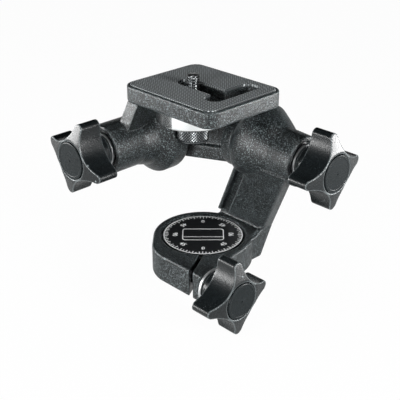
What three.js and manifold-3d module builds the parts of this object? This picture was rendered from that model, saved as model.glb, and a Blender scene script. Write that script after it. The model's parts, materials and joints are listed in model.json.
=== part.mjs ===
// Three way pan tilt head: a pan clamp, a leaning arm, a cranked elbow and a tilting camera platform.
// Millimetres, +Z up. The origin lies on the pan axis at the underside of the foot.
import * as THREE from 'three';
import { mergeVertices } from 'three/addons/utils/BufferGeometryUtils.js';
import Module from 'manifold-3d';

const wasm = await Module();
wasm.setup();

// Clearances and roundness shared by all pieces
const gap = 0.3;
const overrun = 1;
const blend = 1;
const coarse = 20;
const fine = 36;
const quarter = Math.PI / 2;

// The three axes: pan is vertical through the origin, tilt runs along X, side tilt along Y
const axisHeight = 60;
const tiltY = 20.8;
const rollX = -30.5;
const plateRise = 22.1;

// Camera platform
const plate = { length: 57.6, width: 47.8, shift: -0.6, thickness: 7.5, corner: 6.6, round: 1.3 };
const plateUnderside = axisHeight + plateRise;
const plateTop = plateUnderside + plate.thickness;
const pad = { thickness: 1.2, proud: 0.5, border: 1.6 };
const padTop = plateTop + pad.proud;
const padUnderside = padTop - pad.thickness;
const slot = {
  width: 9.5,
  ledgeWidth: 7.3,
  ledgeHeight: 2.5,
  start: -8.6,
  y: -1.3,
  crossX: 15.3,
  crossFront: -12.8,
  crossBack: 18,
};

// Camera screw and what turns on it
const screw = { radius: 3.175, stickOut: 4.6, x: -5.3, tip: 0.7, threadFree: 0.8 };
const glide = { radius: 8.5, thickness: 0.9 };
const wheel = { radius: 17.4, height: 7.6, facets: 28, chamfer: 0.8 };
const ring = { radius: 7.5, height: 9.4, chamfer: 0.7 };
const clip = { radius: 4.35, thickness: 0.8, mouth: 4 };
const slide = { back: 0.6, forward: 4 };
const pocketRoom = 0.6;
const glideTop = plateUnderside - gap;
const wheelTop = glideTop - glide.thickness - gap;
const wheelBottom = wheelTop - wheel.height;
const ringTop = wheelBottom - gap;
const ringBottom = ringTop - ring.height;
const shankRadius = screw.radius + gap;

// Barrels that hold the two tilt joints
const barrel = {
  radius: 12,
  rim: 9.8,
  rimDepth: 1,
  boss: 7.6,
  grooveDepth: 2.4,
  bore: 10.3,
  endWall: 5.2,
  chamfer: 0.6,
};
const tiltBarrel = { start: 10.2, length: 33.8, flareRun: 21 };
const rollBarrel = { start: -3, length: 38.8, flareRun: 22 };

// Outline of each flare from the open end: share of its run, then its reach in front and at the back,
// both as shares of the barrel's radius. The tilt barrel's back is drawn out into a hood.
const hoodTurn = 0.96;
const tiltFlareShares = [
  [0, 1.1, 1.1],
  [0.04, 1.24, 1.25],
  [0.1, 1.27, 1.38],
  [0.18, 1.27, 1.54],
  [0.25, 1.26, 1.66],
  [0.32, 1.24, 1.72],
  [0.4, 1.21, 1.71],
  [0.7, 1.11, 1.4],
  [1, 1, 1.06],
];
const rollFlareShares = [
  [0, 1.38, 1.38],
  [0.03, 1.53, 1.53],
  [0.1, 1.58, 1.58],
  [0.42, 1.58, 1.58],
  [0.67, 1.15, 1.15],
  [1, 1, 1],
];
const tiltRing = tiltBarrel.start + tiltBarrel.length;
const rollRing = rollBarrel.start + rollBarrel.length;
const sleeve = { wall: 1.4, slit: 1.2, endRoom: 0.6 };
const sleeveOuter = barrel.bore - gap;
const journalRadius = sleeveOuter - sleeve.wall - gap;

// Clamp collar round the foot
const collar = { radius: 24.4, height: 13.8, lift: 0.6, edge: 0.7 };
const collarTop = collar.lift + collar.height;
const ears = {
  front: -29.5,
  side: 28.6,
  sideBack: -17,
  neckX: 25.6,
  neckY: -6,
  tangentShare: 0.7071,
  turn: 7,
  gapWidth: 2.1,
  gapX: 14.9,
  gapY: -16.2,
  gapLength: 24,
  gapTurn: -1.075,
};
const clamp = { y: -22.9, z: 7.4, nutX: 10.4, nutRadius: 4.7, nutHeight: 10.6 };

// Foot, spindle and dial
const foot = { radius: 20, thickness: 3 };
const spindle = { radius: 16, socket: 4.7625, socketDepth: 9.2 };
const panSleeve = { wall: 1.6 };
const retainer = { thickness: 1, screwPitch: 10.5, screwCount: 3 };
const dial = { radius: 20, thickness: 0.9, below: 0.5, bevel: 0.9 };
const tinyScrew = { radius: 1.3, head: 2.1, headHeight: 0.7, length: 4.2 };
const dialTop = collarTop - dial.below;
const dialUnderside = dialTop - dial.thickness;
const retainerTop = dialUnderside - gap;
const retainerUnderside = retainerTop - retainer.thickness;
const spindleTop = retainerUnderside - gap;
const sleeveRadius = spindle.radius + gap + panSleeve.wall;
const collarBore = sleeveRadius + gap;
const dialSeat = dial.radius + gap;

// Arm: a slab that leans right and forward from the collar's back rim to the tilt barrel's front
const arm = {
  depth: 6.8,
  groove: 2.6,
  leftLeanShare: 0.62,
  rightLeanShare: 0.58,
  forwardShare: 0.31,
  footY: 20.5,
  footRise: 2.9,
  left: -10.7,
  right: 21.1,
  rootRight: 18.6,
  rootFront: 12,
  rootBack: 22.4,
  ribWidth: 2.3,
  grooveWidth: 5.1,
  headDrop: 5,
  gussetWidth: 3,
  gussetReach: 6,
  sweepRoom: 0.8,
  edge: 0.6,
};
const armFoot = collarTop + arm.footRise;
const armBack = arm.footY + arm.depth;

// Elbow casting and its two journals
const disc = { tiltRadius: 13.2, rollRadius: 14.2, thickness: 6.7, round: 0.9 };
const web = {
  below: 11.4,
  ledge: 4,
  above: 8,
  setBack: 4,
  behind: 9.2,
  outside: 11.2,
  nose: 1.4,
  frontEnd: 5.2,
  cornerCut: 16,
};
const tiltDiscBack = tiltBarrel.start - gap - disc.thickness;
const rollDiscFace = -(rollBarrel.start - gap);
const rollDiscBack = rollDiscFace + disc.thickness;

// Bracket that hangs the side tilt barrel under the plate
const bracket = { thickness: 7.4, x: -21.8, lean: 0.31, topFront: -23.4, footFront: -28, footDrop: 13.6, sink: 3 };

// Lock knobs
const knob = {
  reach: 18.7,
  tip: 2.35,
  scallop: 16.7,
  height: 19.5,
  hub: 8,
  hubHeight: 4,
  frontDrop: 2.6,
  backRise: 0.6,
  edge: 0.7,
};
const cap = { radius: 8.7, thickness: 1.6, rim: 0.35 };
const washer = { radius: 8.7, thickness: 1.5 };
const stud = { radius: 3, reachIn: 22.4, head: 5.6, headHeight: 2.2 };
const knobTurns = { pan: 0.02, tilt: 0.07, roll: -0.28 };
const studHole = stud.radius + gap;
const knobSeat = gap + washer.thickness + gap;
const capSeat = knob.height - cap.thickness - gap;

// Finishes
const finish = {
  casting: { color: 0x24282a, roughness: 0.5, metalness: 0.25 },
  knob: { color: 0x1d2022, roughness: 0.6, metalness: 0 },
  cap: { color: 0x15181a, roughness: 0.45, metalness: 0 },
  steel: { color: 0xb4b8ba, roughness: 0.3, metalness: 1 },
  darkSteel: { color: 0x565c60, roughness: 0.4, metalness: 1 },
  aluminium: { color: 0xdde1e3, roughness: 0.25, metalness: 1 },
  sleeve: { color: 0xe6e3d8, roughness: 0.5, metalness: 0 },
  dial: { color: 0x0e0f10, roughness: 0.25, metalness: 0 },
  pad: { color: 0x4c5356, roughness: 0.9, metalness: 0 },
};

/** A solid for joining and cutting, from a closed geometry. */
function solid(geometry) {
  const bare = geometry.clone();
  bare.deleteAttribute('normal');
  bare.deleteAttribute('uv');
  const merged = mergeVertices(bare);
  const corners = [];
  for (let i = 0; i < merged.index.count; i += 3) {
    const [a, b, c] = [merged.index.getX(i), merged.index.getX(i + 1), merged.index.getX(i + 2)];
    if (a !== b && b !== c && c !== a) corners.push(a, b, c);
  }
  const vertProperties = new Float32Array(merged.attributes.position.array);
  return new wasm.Manifold(new wasm.Mesh({ numProp: 3, vertProperties, triVerts: new Uint32Array(corners) }));
}

/** The joined or cut solid as a geometry again. */
function shaped(body) {
  const { vertProperties, triVerts } = body.getMesh();
  const geometry = new THREE.BufferGeometry();
  geometry.setAttribute('position', new THREE.BufferAttribute(new Float32Array(vertProperties), 3));
  geometry.setIndex(new THREE.BufferAttribute(new Uint32Array(triVerts), 1));
  geometry.computeVertexNormals();
  return geometry;
}

function piece(name, body, look) {
  const geometry = body.isBufferGeometry ? body : shaped(body);
  const mesh = new THREE.Mesh(geometry, new THREE.MeshStandardMaterial(finish[look]));
  mesh.name = name;
  return mesh;
}

/** Turns a profile of [radius, height] pairs about Z. */
function turned(profile, segments = coarse) {
  const points = profile.map(([radius, height]) => new THREE.Vector2(radius, height));
  if (THREE.ShapeUtils.area(points) < 0) points.reverse();
  points.push(points[0].clone());
  return new THREE.LatheGeometry(points, segments).rotateX(quarter);
}

function rod(radius, from, to, segments = coarse) {
  return turned([[0, from], [radius, from], [radius, to], [0, to]], segments);
}

function tube(inner, outer, from, to, segments = coarse) {
  return turned([[inner, from], [outer, from], [outer, to], [inner, to]], segments);
}

/** Extrudes a plan outline upwards between two heights, with its edges rounded by edge. */
function raised(outline, from, to, edge = 0) {
  const settings = { depth: to - from - edge - edge, bevelEnabled: edge > 0, curveSegments: 6 };
  Object.assign(settings, { bevelThickness: edge, bevelSize: edge, bevelOffset: -edge, bevelSegments: 2 });
  return new THREE.ExtrudeGeometry(outline, settings).translate(0, 0, from + edge);
}

function polygon(points) {
  return new THREE.Shape(points.map(([x, y]) => new THREE.Vector2(x, y)));
}

/** A box between two corners. */
function block(low, high) {
  const [x, y, z] = low.map((value, i) => (value + high[i]) / 2);
  return new THREE.BoxGeometry(high[0] - low[0], high[1] - low[1], high[2] - low[2]).translate(x, y, z);
}

// Placing a piece that was made along Z onto one of the lying axes
const onTilt = (geometry) => geometry.rotateY(quarter).translate(0, tiltY, axisHeight);
const onRoll = (geometry) => geometry.rotateX(quarter).translate(rollX, 0, axisHeight);
const onClamp = (geometry) => geometry.rotateY(quarter).translate(0, clamp.y, clamp.z);

/** The plate's outline, drawn in from its edge by border. */
function platePlan(border) {
  const x = plate.length / 2 - border;
  const y = plate.width / 2 - border;
  const corner = plate.corner - border;
  const [left, right] = [plate.shift - x + corner, plate.shift + x - corner];
  const shape = new THREE.Shape();
  shape.absarc(right, corner - y, corner, -quarter, 0);
  shape.absarc(right, y - corner, corner, 0, quarter);
  shape.absarc(left, y - corner, corner, quarter, quarter * 2);
  shape.absarc(left, corner - y, corner, quarter * 2, quarter * 3);
  return shape;
}

/** A plan outline with two round ends, between two points on one line along X or Y. */
function stadium(x0, y0, x1, y1, radius) {
  const turn = Math.atan2(y1 - y0, x1 - x0);
  const shape = new THREE.Shape();
  shape.absarc(x1, y1, radius, turn - quarter, turn + quarter);
  shape.absarc(x0, y0, radius, turn + quarter, turn + quarter * 3);
  return shape;
}

/** The slot for the camera screw: a leg along the plate that ends in a leg across it. */
function slotCut(width, from, to) {
  const radius = width / 2;
  const along = solid(raised(stadium(slot.start, slot.y, slot.crossX, slot.y, radius), from, to));
  const across = stadium(slot.crossX, slot.crossFront + radius, slot.crossX, slot.crossBack - radius, radius);
  return along.add(solid(raised(across, from, to)));
}

/** The room that the finger wheel and its lock ring need, over the whole travel of the screw. */
function wheelRoom() {
  const [from, to] = [screw.x - slide.back, screw.x + slide.forward];
  const widePlan = stadium(from, slot.y, to, slot.y, wheel.radius + pocketRoom);
  const narrowPlan = stadium(from, slot.y, to, slot.y, ring.radius + pocketRoom);
  const wide = raised(widePlan, wheelBottom - pocketRoom, plateUnderside);
  return solid(wide).add(solid(raised(narrowPlan, ringBottom - pocketRoom, wheelBottom)));
}

/** Outside of a barrel, made along Z from its open start to its ring. */
function barrelShell({ start, length, flareRun }, flareShares) {
  const end = start + length;
  const rings = flareShares.map(([run, front, back]) => ({
    height: start + run * flareRun,
    radius: (barrel.radius * (back + front)) / 2,
    shift: (barrel.radius * (back - front)) / 2,
  }));
  const shell = turned([
    [0, start],
    ...rings.map(({ radius, height }) => [radius, height]),
    [barrel.radius, end - barrel.chamfer],
    [barrel.radius - barrel.chamfer, end],
    [0, end],
  ], fine);
  const place = shell.attributes.position;
  for (let i = 0; i < place.count; i += 1) {
    const ring = rings.find(({ height }) => Math.abs(height - place.getZ(i)) < gap / 2);
    const shift = ring ? ring.shift : 0;
    place.setX(i, place.getX(i) - shift * Math.sin(hoodTurn));
    place.setY(i, place.getY(i) + shift * Math.cos(hoodTurn));
  }
  return shell;
}

/** Inside of a barrel: the journal's bore, the stud's hole and the ring's recess with its boss. */
function barrelHollow({ start, length }) {
  const end = start + length;
  const floor = end - barrel.grooveDepth - barrel.endWall;
  return turned([
    [0, start - overrun],
    [barrel.bore, start - overrun],
    [barrel.bore, floor],
    [studHole, floor],
    [studHole, end - barrel.rimDepth],
    [barrel.boss, end - barrel.rimDepth],
    [barrel.boss, end - barrel.grooveDepth],
    [barrel.rim, end - barrel.grooveDepth],
    [barrel.rim, end + overrun],
    [0, end + overrun],
  ], fine);
}

/** Split friction sleeve that lines a barrel. */
function liner({ start, length }) {
  const from = start + sleeve.endRoom;
  const to = start + length - barrel.grooveDepth - barrel.endWall - sleeve.endRoom;
  const slit = block([0, -sleeve.slit / 2, from - overrun], [sleeveOuter + overrun, sleeve.slit / 2, to + overrun]);
  return solid(tube(sleeveOuter - sleeve.wall, sleeveOuter, from, to, fine)).subtract(solid(slit));
}

/** Turned journal, with the thread that the lock stud draws it in by. */
function journal({ start, length }) {
  const from = start - disc.thickness;
  const to = start + length - barrel.grooveDepth - barrel.endWall - sleeve.endRoom;
  const holeEnd = start + length - barrel.rimDepth - stud.reachIn - overrun;
  return turned([
    [0, from],
    [journalRadius - blend, from],
    [journalRadius, from + blend],
    [journalRadius, to - blend],
    [journalRadius - blend, to],
    [studHole, to],
    [studHole, holeEnd],
    [0, holeEnd],
  ], fine);
}

// Base: what stays still on the tripod

function baseSpindle() {
  const body = turned([
    [spindle.socket, 0],
    [foot.radius, 0],
    [foot.radius, foot.thickness],
    [spindle.radius, foot.thickness],
    [spindle.radius, spindleTop],
    [0, spindleTop],
    [0, spindle.socketDepth],
    [spindle.socket, spindle.socketDepth],
  ], fine);
  return solid(body).subtract(tinyScrewHoles(tinyScrew.radius + gap, spindleTop - tinyScrew.length));
}

/** The ring of small screw places over the spindle, from one height up past the retaining disc. */
function tinyScrewHoles(radius, from) {
  const holes = [];
  for (let i = 0; i < retainer.screwCount; i += 1) {
    const turn = (i * quarter * 4) / retainer.screwCount;
    const [x, y] = [retainer.screwPitch * Math.cos(turn), retainer.screwPitch * Math.sin(turn)];
    holes.push(solid(rod(radius, from, retainerTop + overrun, coarse / 2).translate(x, y, 0)));
  }
  return holes.reduce((all, hole) => all.add(hole));
}

function retainingDisc() {
  const seat = retainerTop - tinyScrew.headHeight / 2 - gap;
  const plain = solid(rod(dial.radius, retainerUnderside, retainerTop, fine));
  const drilled = plain.subtract(tinyScrewHoles(tinyScrew.radius + gap, spindleTop));
  return drilled.subtract(tinyScrewHoles(tinyScrew.head + gap, seat));
}

/** One small screw that holds the retaining disc down, by its place round the spindle. */
function retainingScrew(i) {
  const headLow = retainerTop - tinyScrew.headHeight / 2;
  const tip = spindleTop - tinyScrew.length + gap;
  const turn = (i * quarter * 4) / retainer.screwCount;
  const profile = [
    [0, tip],
    [tinyScrew.radius, tip],
    [tinyScrew.radius, headLow],
    [tinyScrew.head, headLow],
    [tinyScrew.head, retainerTop],
    [0, retainerTop],
  ];
  const place = [retainer.screwPitch * Math.cos(turn), retainer.screwPitch * Math.sin(turn), 0];
  return turned(profile, coarse / 2).translate(...place);
}

function dialPlate() {
  return rod(dial.radius, dialUnderside, dialTop, fine);
}

// Pan arm: collar, leaning arm and tilt barrel in one casting

/** Plan of the collar: a round body with a blunt nose that carries the two clamp ears. */
function collarPlan() {
  const share = ears.tangentShare;
  const run = (-ears.front - collar.radius * share) / share;
  const meetX = -collar.radius * share + run * share;
  const shape = new THREE.Shape();
  shape.moveTo(ears.side, ears.front);
  shape.lineTo(ears.side, ears.sideBack);
  shape.lineTo(ears.neckX, ears.neckY);
  const from = Math.atan2(-ears.neckY / 2, collar.radius);
  shape.absarc(0, 0, collar.radius, from, quarter * 2 + quarter / 2);
  shape.lineTo(meetX - ears.turn * share, ears.front + ears.turn * share);
  shape.quadraticCurveTo(meetX, ears.front, meetX + ears.turn, ears.front);
  return shape;
}

function splitCut() {
  const half = ears.gapWidth / 2;
  const cut = block([-collar.radius / 4, -half, -overrun], [ears.gapLength, half, collarTop + overrun]);
  return cut.rotateZ(ears.gapTurn).translate(ears.gapX, ears.gapY, 0);
}

function collarBody() {
  const outside = solid(raised(collarPlan(), collar.lift, collarTop, collar.edge));
  const bore = turned([
    [0, -overrun],
    [foot.radius + gap, -overrun],
    [foot.radius + gap, foot.thickness + gap],
    [collarBore, foot.thickness + gap],
    [collarBore, retainerUnderside - gap],
    [dialSeat, retainerUnderside - gap],
    [dialSeat, collarTop - dial.bevel],
    [dialSeat + dial.bevel + overrun, collarTop + overrun],
    [0, collarTop + overrun],
  ], fine);
  const studWay = onClamp(rod(studHole, ears.side - stud.reachIn - overrun, ears.side + overrun));
  const nutWay = rod(clamp.nutRadius + gap, -overrun, clamp.nutHeight + collar.lift + gap + gap);
  return { outside, cuts: [bore, splitCut(), studWay, nutWay.translate(clamp.nutX, clamp.y, 0)] };
}

/** A slab of the arm by its sides at the foot and its two depths there, sheared with the arm. */
function armSlab(left, right, rightLean, front, back) {
  const top = axisHeight - arm.headDrop;
  const rise = top - armFoot;
  const outline = polygon([
    [left, armFoot],
    [right, armFoot],
    [right + rightLean * rise, top],
    [left + arm.leftLeanShare * rise, top],
  ]);
  const forward = new THREE.Matrix4().set(
    1, 0, 0, 0,
    0, 1, -arm.forwardShare, arm.forwardShare * armFoot,
    0, 0, 1, 0,
    0, 0, 0, 1);
  return solid(raised(outline, -back, -front, arm.edge).rotateX(quarter).applyMatrix4(forward));
}

/** A side outline of the arm's foot, extruded from left to right of the arm and leaning with it. */
function rootSlab(points, from, to) {
  const lean = (arm.right - arm.rootRight) / (armFoot - collar.lift);
  const stand = new THREE.Matrix4().set(
    0, lean, 1, arm.right - lean * armFoot,
    1, 0, 0, 0,
    0, 1, 0, 0,
    0, 0, 0, 1);
  return solid(raised(polygon(points), from, to, arm.edge).applyMatrix4(stand));
}

/** The root that carries the arm's foot down through the collar. */
function armRoot() {
  const floor = arm.footY + arm.groove;
  return rootSlab([
    [arm.rootFront, collar.lift],
    [arm.rootBack, collar.lift],
    [armBack, armFoot],
    [armBack, armFoot + blend],
    [floor, armFoot + blend],
    [floor, collarTop],
    [arm.rootFront, collarTop],
  ], arm.left - arm.right, 0);
}

/** Web on the right that joins the collar's rim to the foot of the raised panel. */
function gusset() {
  const low = collarTop - collar.edge;
  return rootSlab([
    [arm.footY - arm.gussetReach, low],
    [arm.footY + arm.groove + blend, low],
    [arm.footY + arm.groove + blend, armFoot + blend],
    [arm.footY + arm.edge, armFoot + blend],
  ], -arm.gussetWidth, 0);
}

function armBody() {
  const floor = arm.footY + arm.groove;
  const ribRight = arm.left + arm.ribWidth;
  const pieces = [
    armSlab(arm.left, ribRight, arm.leftLeanShare, arm.footY, armBack),
    armSlab(ribRight + arm.grooveWidth, arm.right, arm.rightLeanShare, arm.footY, armBack),
    armRoot(),
    gusset(),
  ];
  const slab = armSlab(arm.left, arm.right, arm.rightLeanShare, floor, armBack);
  return pieces.reduce((body, one) => body.add(one), slab);
}

function panArm() {
  const { outside, cuts } = collarBody();
  const sweep = solid(onTilt(rod(disc.tiltRadius + arm.sweepRoom, rollX, tiltBarrel.start, fine)));
  const raw = outside.add(armBody()).subtract(sweep);
  const cast = raw.add(solid(onTilt(barrelShell(tiltBarrel, tiltFlareShares))));
  return [...cuts, onTilt(barrelHollow(tiltBarrel))].reduce((body, one) => body.subtract(solid(one)), cast);
}

function panSleeveBody() {
  const from = foot.thickness + gap;
  const to = retainerUnderside - gap - gap;
  return solid(tube(spindle.radius + gap, sleeveRadius, from, to, fine)).subtract(solid(splitCut()));
}

function clampNut() {
  const body = rod(clamp.nutRadius, collar.lift + gap, clamp.nutHeight + collar.lift, coarse);
  const way = onClamp(rod(studHole, clamp.nutX - clamp.nutRadius - overrun, clamp.nutX + clamp.nutRadius + overrun));
  return solid(body.translate(clamp.nutX, clamp.y, 0)).subtract(solid(way));
}

// Elbow: two discs set at a right angle, joined by a diagonal web

/** Plan of the web, with its front edge moved back by back. */
function webPlan(back) {
  const farY = tiltY + web.behind;
  const farX = rollX - web.outside;
  return polygon([
    [farX, rollDiscBack - disc.thickness / 2],
    [rollX + disc.rollRadius - web.nose - back, rollDiscFace + web.nose],
    [tiltDiscBack + blend, tiltY - web.frontEnd + back / 2],
    [tiltDiscBack + blend, farY],
    [farX + web.cornerCut, farY],
    [farX, farY - web.cornerCut],
  ]);
}

function elbow() {
  const round = disc.round;
  const dish = (radius, from, to) => turned([
    [0, from],
    [radius - round, from],
    [radius, from + round],
    [radius, to - round],
    [radius - round, to],
    [0, to],
  ], fine);
  const tiltDisc = onTilt(dish(disc.tiltRadius, tiltDiscBack, tiltBarrel.start - gap));
  const rollDisc = onRoll(dish(disc.rollRadius, -rollDiscBack, -rollDiscFace));
  const lower = raised(webPlan(0), axisHeight - web.below, axisHeight - web.ledge, round);
  const upper = raised(webPlan(web.setBack), axisHeight - web.ledge - overrun, axisHeight + web.above, round);
  const body = [rollDisc, lower, upper].reduce((all, one) => all.add(solid(one)), solid(tiltDisc));
  const socket = journalRadius + gap;
  const tiltSocket = onTilt(rod(socket, tiltBarrel.start - disc.thickness - gap, tiltBarrel.start + overrun, fine));
  const rollSocket = onRoll(rod(socket, rollBarrel.start - disc.thickness - gap, rollBarrel.start + overrun, fine));
  return body.subtract(solid(tiltSocket)).subtract(solid(rollSocket));
}

// Platform: plate, bracket and side tilt barrel in one casting

function bracketBody() {
  const foot = plateUnderside - bracket.footDrop;
  const back = -rollBarrel.start;
  const top = plateUnderside + overrun;
  const outline = polygon([
    [bracket.topFront, top],
    [bracket.footFront, foot],
    [bracket.footFront, foot - bracket.sink],
    [back - blend, foot - bracket.sink],
    [back - blend, top],
  ]);
  const half = bracket.thickness / 2;
  const upright = raised(outline, -half, half, arm.edge);
  const lean = bracket.lean;
  const stand = new THREE.Matrix4().set(
    0, lean, 1, bracket.x - lean * plateUnderside,
    1, 0, 0, 0,
    0, 1, 0, 0,
    0, 0, 0, 1);
  return upright.applyMatrix4(stand);
}

function platform() {
  const slab = solid(raised(platePlan(0), plateUnderside, plateTop, plate.round));
  const body = slab.add(solid(onRoll(barrelShell(rollBarrel, rollFlareShares)))).add(solid(bracketBody()));
  const recess = platePlan(pad.border - gap);
  const cuts = [
    wheelRoom(),
    solid(onRoll(barrelHollow(rollBarrel))),
    solid(raised(recess, padUnderside - gap, plateTop + overrun)),
    slotCut(slot.ledgeWidth, plateUnderside - overrun, plateTop),
    slotCut(slot.width, plateUnderside + slot.ledgeHeight, plateTop + overrun),
  ];
  return cuts.reduce((all, cut) => all.subtract(cut), body);
}

function platformPad() {
  const plain = solid(raised(platePlan(pad.border), padUnderside, padTop));
  return plain.subtract(slotCut(slot.width, padUnderside - overrun, padTop + overrun));
}

// Camera screw

function cameraScrew() {
  const top = padTop + screw.stickOut;
  const low = ringBottom + screw.threadFree;
  return turned([
    [0, low],
    [screw.radius - screw.tip, low],
    [screw.radius, low + screw.tip],
    [screw.radius, top - screw.tip],
    [screw.radius - screw.tip, top],
    [0, top],
  ]).translate(screw.x, slot.y, 0);
}

function bored(radius, from, to, chamfer, segments) {
  return turned([
    [shankRadius, from],
    [radius - chamfer, from],
    [radius, from + chamfer],
    [radius, to - chamfer],
    [radius - chamfer, to],
    [shankRadius, to],
  ], segments).translate(screw.x, slot.y, 0);
}

function screwClip() {
  const from = plateUnderside + slot.ledgeHeight + gap;
  const to = from + clip.thickness;
  const whole = solid(tube(shankRadius, clip.radius, from, to, coarse));
  const mouth = block([0, -clip.mouth / 2, from - overrun], [clip.radius + overrun, clip.mouth / 2, to + overrun]);
  return whole.subtract(solid(mouth)).translate([screw.x, slot.y, 0]);
}

// Lock knobs, made standing on the face that they press on

/** Four lobes with round tips, joined by scallops that run into the tips smoothly. */
function knobPlan() {
  const centre = knob.reach - knob.tip;
  const touch = knob.scallop + knob.tip;
  const far = (Math.SQRT2 * centre + Math.sqrt(4 * touch * touch - 2 * centre * centre)) / 2;
  const side = far / Math.SQRT2;
  const open = Math.atan2(side, side - centre);
  const shape = new THREE.Shape();
  for (let lobe = 0; lobe < 4; lobe += 1) {
    const turn = lobe * quarter;
    const [cos, sin] = [Math.cos(turn), Math.sin(turn)];
    shape.absarc(centre * cos, centre * sin, knob.tip, turn - open, turn + open);
    const [x, y] = [side * cos - side * sin, side * sin + side * cos];
    shape.absarc(x, y, knob.scallop, turn + open + quarter * 2, turn + quarter * 3 - open, true);
  }
  return shape;
}

function knobBody() {
  const back = knobSeat + knob.hubHeight;
  const front = knob.height - cap.rim;
  const lobes = solid(raised(knobPlan(), back, knob.height, knob.edge));
  const room = solid(turned([
    [0, back],
    [knob.hub, back],
    [knob.reach + overrun, back + knob.backRise],
    [knob.reach + overrun, front - knob.frontDrop],
    [cap.radius + gap + blend, front],
    [0, front],
  ], fine));
  const hub = solid(rod(knob.hub, knobSeat, back + overrun, fine));
  const hollow = solid(turned([
    [0, knobSeat - overrun],
    [studHole, knobSeat - overrun],
    [studHole, capSeat - stud.headHeight - gap - gap],
    [stud.head + gap, capSeat - stud.headHeight - gap - gap],
    [stud.head + gap, capSeat],
    [cap.radius + gap, capSeat],
    [cap.radius + gap, knob.height + overrun],
    [0, knob.height + overrun],
  ], fine));
  return lobes.intersect(room).add(hub).subtract(hollow);
}

function studBody() {
  const headLow = capSeat - stud.headHeight - gap;
  return turned([
    [0, -stud.reachIn],
    [stud.radius - screw.tip, -stud.reachIn],
    [stud.radius, screw.tip - stud.reachIn],
    [stud.radius, headLow],
    [stud.head, headLow],
    [stud.head, headLow + stud.headHeight],
    [0, headLow + stud.headHeight],
  ]);
}

/** One lock knob with its cap, stud and washer. */
function lockKnob(name, turn) {
  const group = new THREE.Group();
  const body = shaped(knobBody());
  body.rotateZ(turn);
  group.add(
    piece(`${name}_knob`, body, 'knob'),
    piece(`${name}_knob_cap`, rod(cap.radius, capSeat + gap, knob.height, fine), 'cap'),
    piece(`${name}_knob_stud`, studBody(), 'steel'),
    piece(`${name}_thrust_washer`, tube(studHole, washer.radius, gap, gap + washer.thickness, fine), 'steel'),
  );
  return group;
}

// The whole head
const head = new THREE.Group();
head.name = 'three_way_head';
head.add(
  piece('base_spindle', baseSpindle(), 'aluminium'),
  piece('retaining_disc', retainingDisc(), 'darkSteel'),
  piece('dial_plate', dialPlate(), 'dial'),
  piece('pan_arm', panArm(), 'casting'),
  piece('pan_sleeve', panSleeveBody(), 'sleeve'),
  piece('pan_clamp_nut', clampNut(), 'steel'),
  piece('elbow', elbow(), 'casting'),
  piece('platform', platform(), 'casting'),
  piece('platform_pad', platformPad(), 'pad'),
  piece('camera_screw', cameraScrew(), 'steel'),
  piece('screw_clip', screwClip(), 'darkSteel'),
  piece('slot_glide_washer', bored(glide.radius, glideTop - glide.thickness, glideTop, gap, coarse), 'sleeve'),
  piece('screw_wheel', bored(wheel.radius, wheelBottom, wheelTop, wheel.chamfer, wheel.facets), 'aluminium'),
  piece('lock_ring', bored(ring.radius, ringBottom, ringTop, ring.chamfer, coarse), 'darkSteel'),
  piece('tilt_sleeve', onTilt(shaped(liner(tiltBarrel))), 'sleeve'),
  piece('tilt_journal', onTilt(journal(tiltBarrel)), 'aluminium'),
  piece('roll_sleeve', onRoll(shaped(liner(rollBarrel))), 'sleeve'),
  piece('roll_journal', onRoll(journal(rollBarrel)), 'aluminium'),
);

for (let i = 0; i < retainer.screwCount; i += 1) {
  head.add(piece(`retaining_screw_${i + 1}`, retainingScrew(i), 'steel'));
}

const panKnob = lockKnob('pan', knobTurns.pan);
panKnob.rotation.y = quarter;
panKnob.position.set(ears.side, clamp.y, clamp.z);
const tiltKnob = lockKnob('tilt', knobTurns.tilt);
tiltKnob.rotation.y = quarter;
tiltKnob.position.set(tiltRing - barrel.rimDepth, tiltY, axisHeight);
const rollKnob = lockKnob('roll', knobTurns.roll);
rollKnob.rotation.x = quarter;
rollKnob.position.set(rollX, barrel.rimDepth - rollRing, axisHeight);
head.add(panKnob, tiltKnob, rollKnob);

export default head;
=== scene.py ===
# %% [markdown]
# # A three way pan tilt head
#
# A small camera head: a round clamp turns on the tripod, a leaning arm carries a tilt barrel, a cranked
# elbow joins that barrel to a second one, and the second one hangs under the camera platform. Three star
# knobs lock the three motions. The construction comes packed, at its real size, and stays untouched. This
# lesson gives every piece its fine shape and its finish.

# %% Load the frame
import json
import math
from types import SimpleNamespace as Sizes
import bpy
from mathutils import Matrix, Vector


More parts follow.
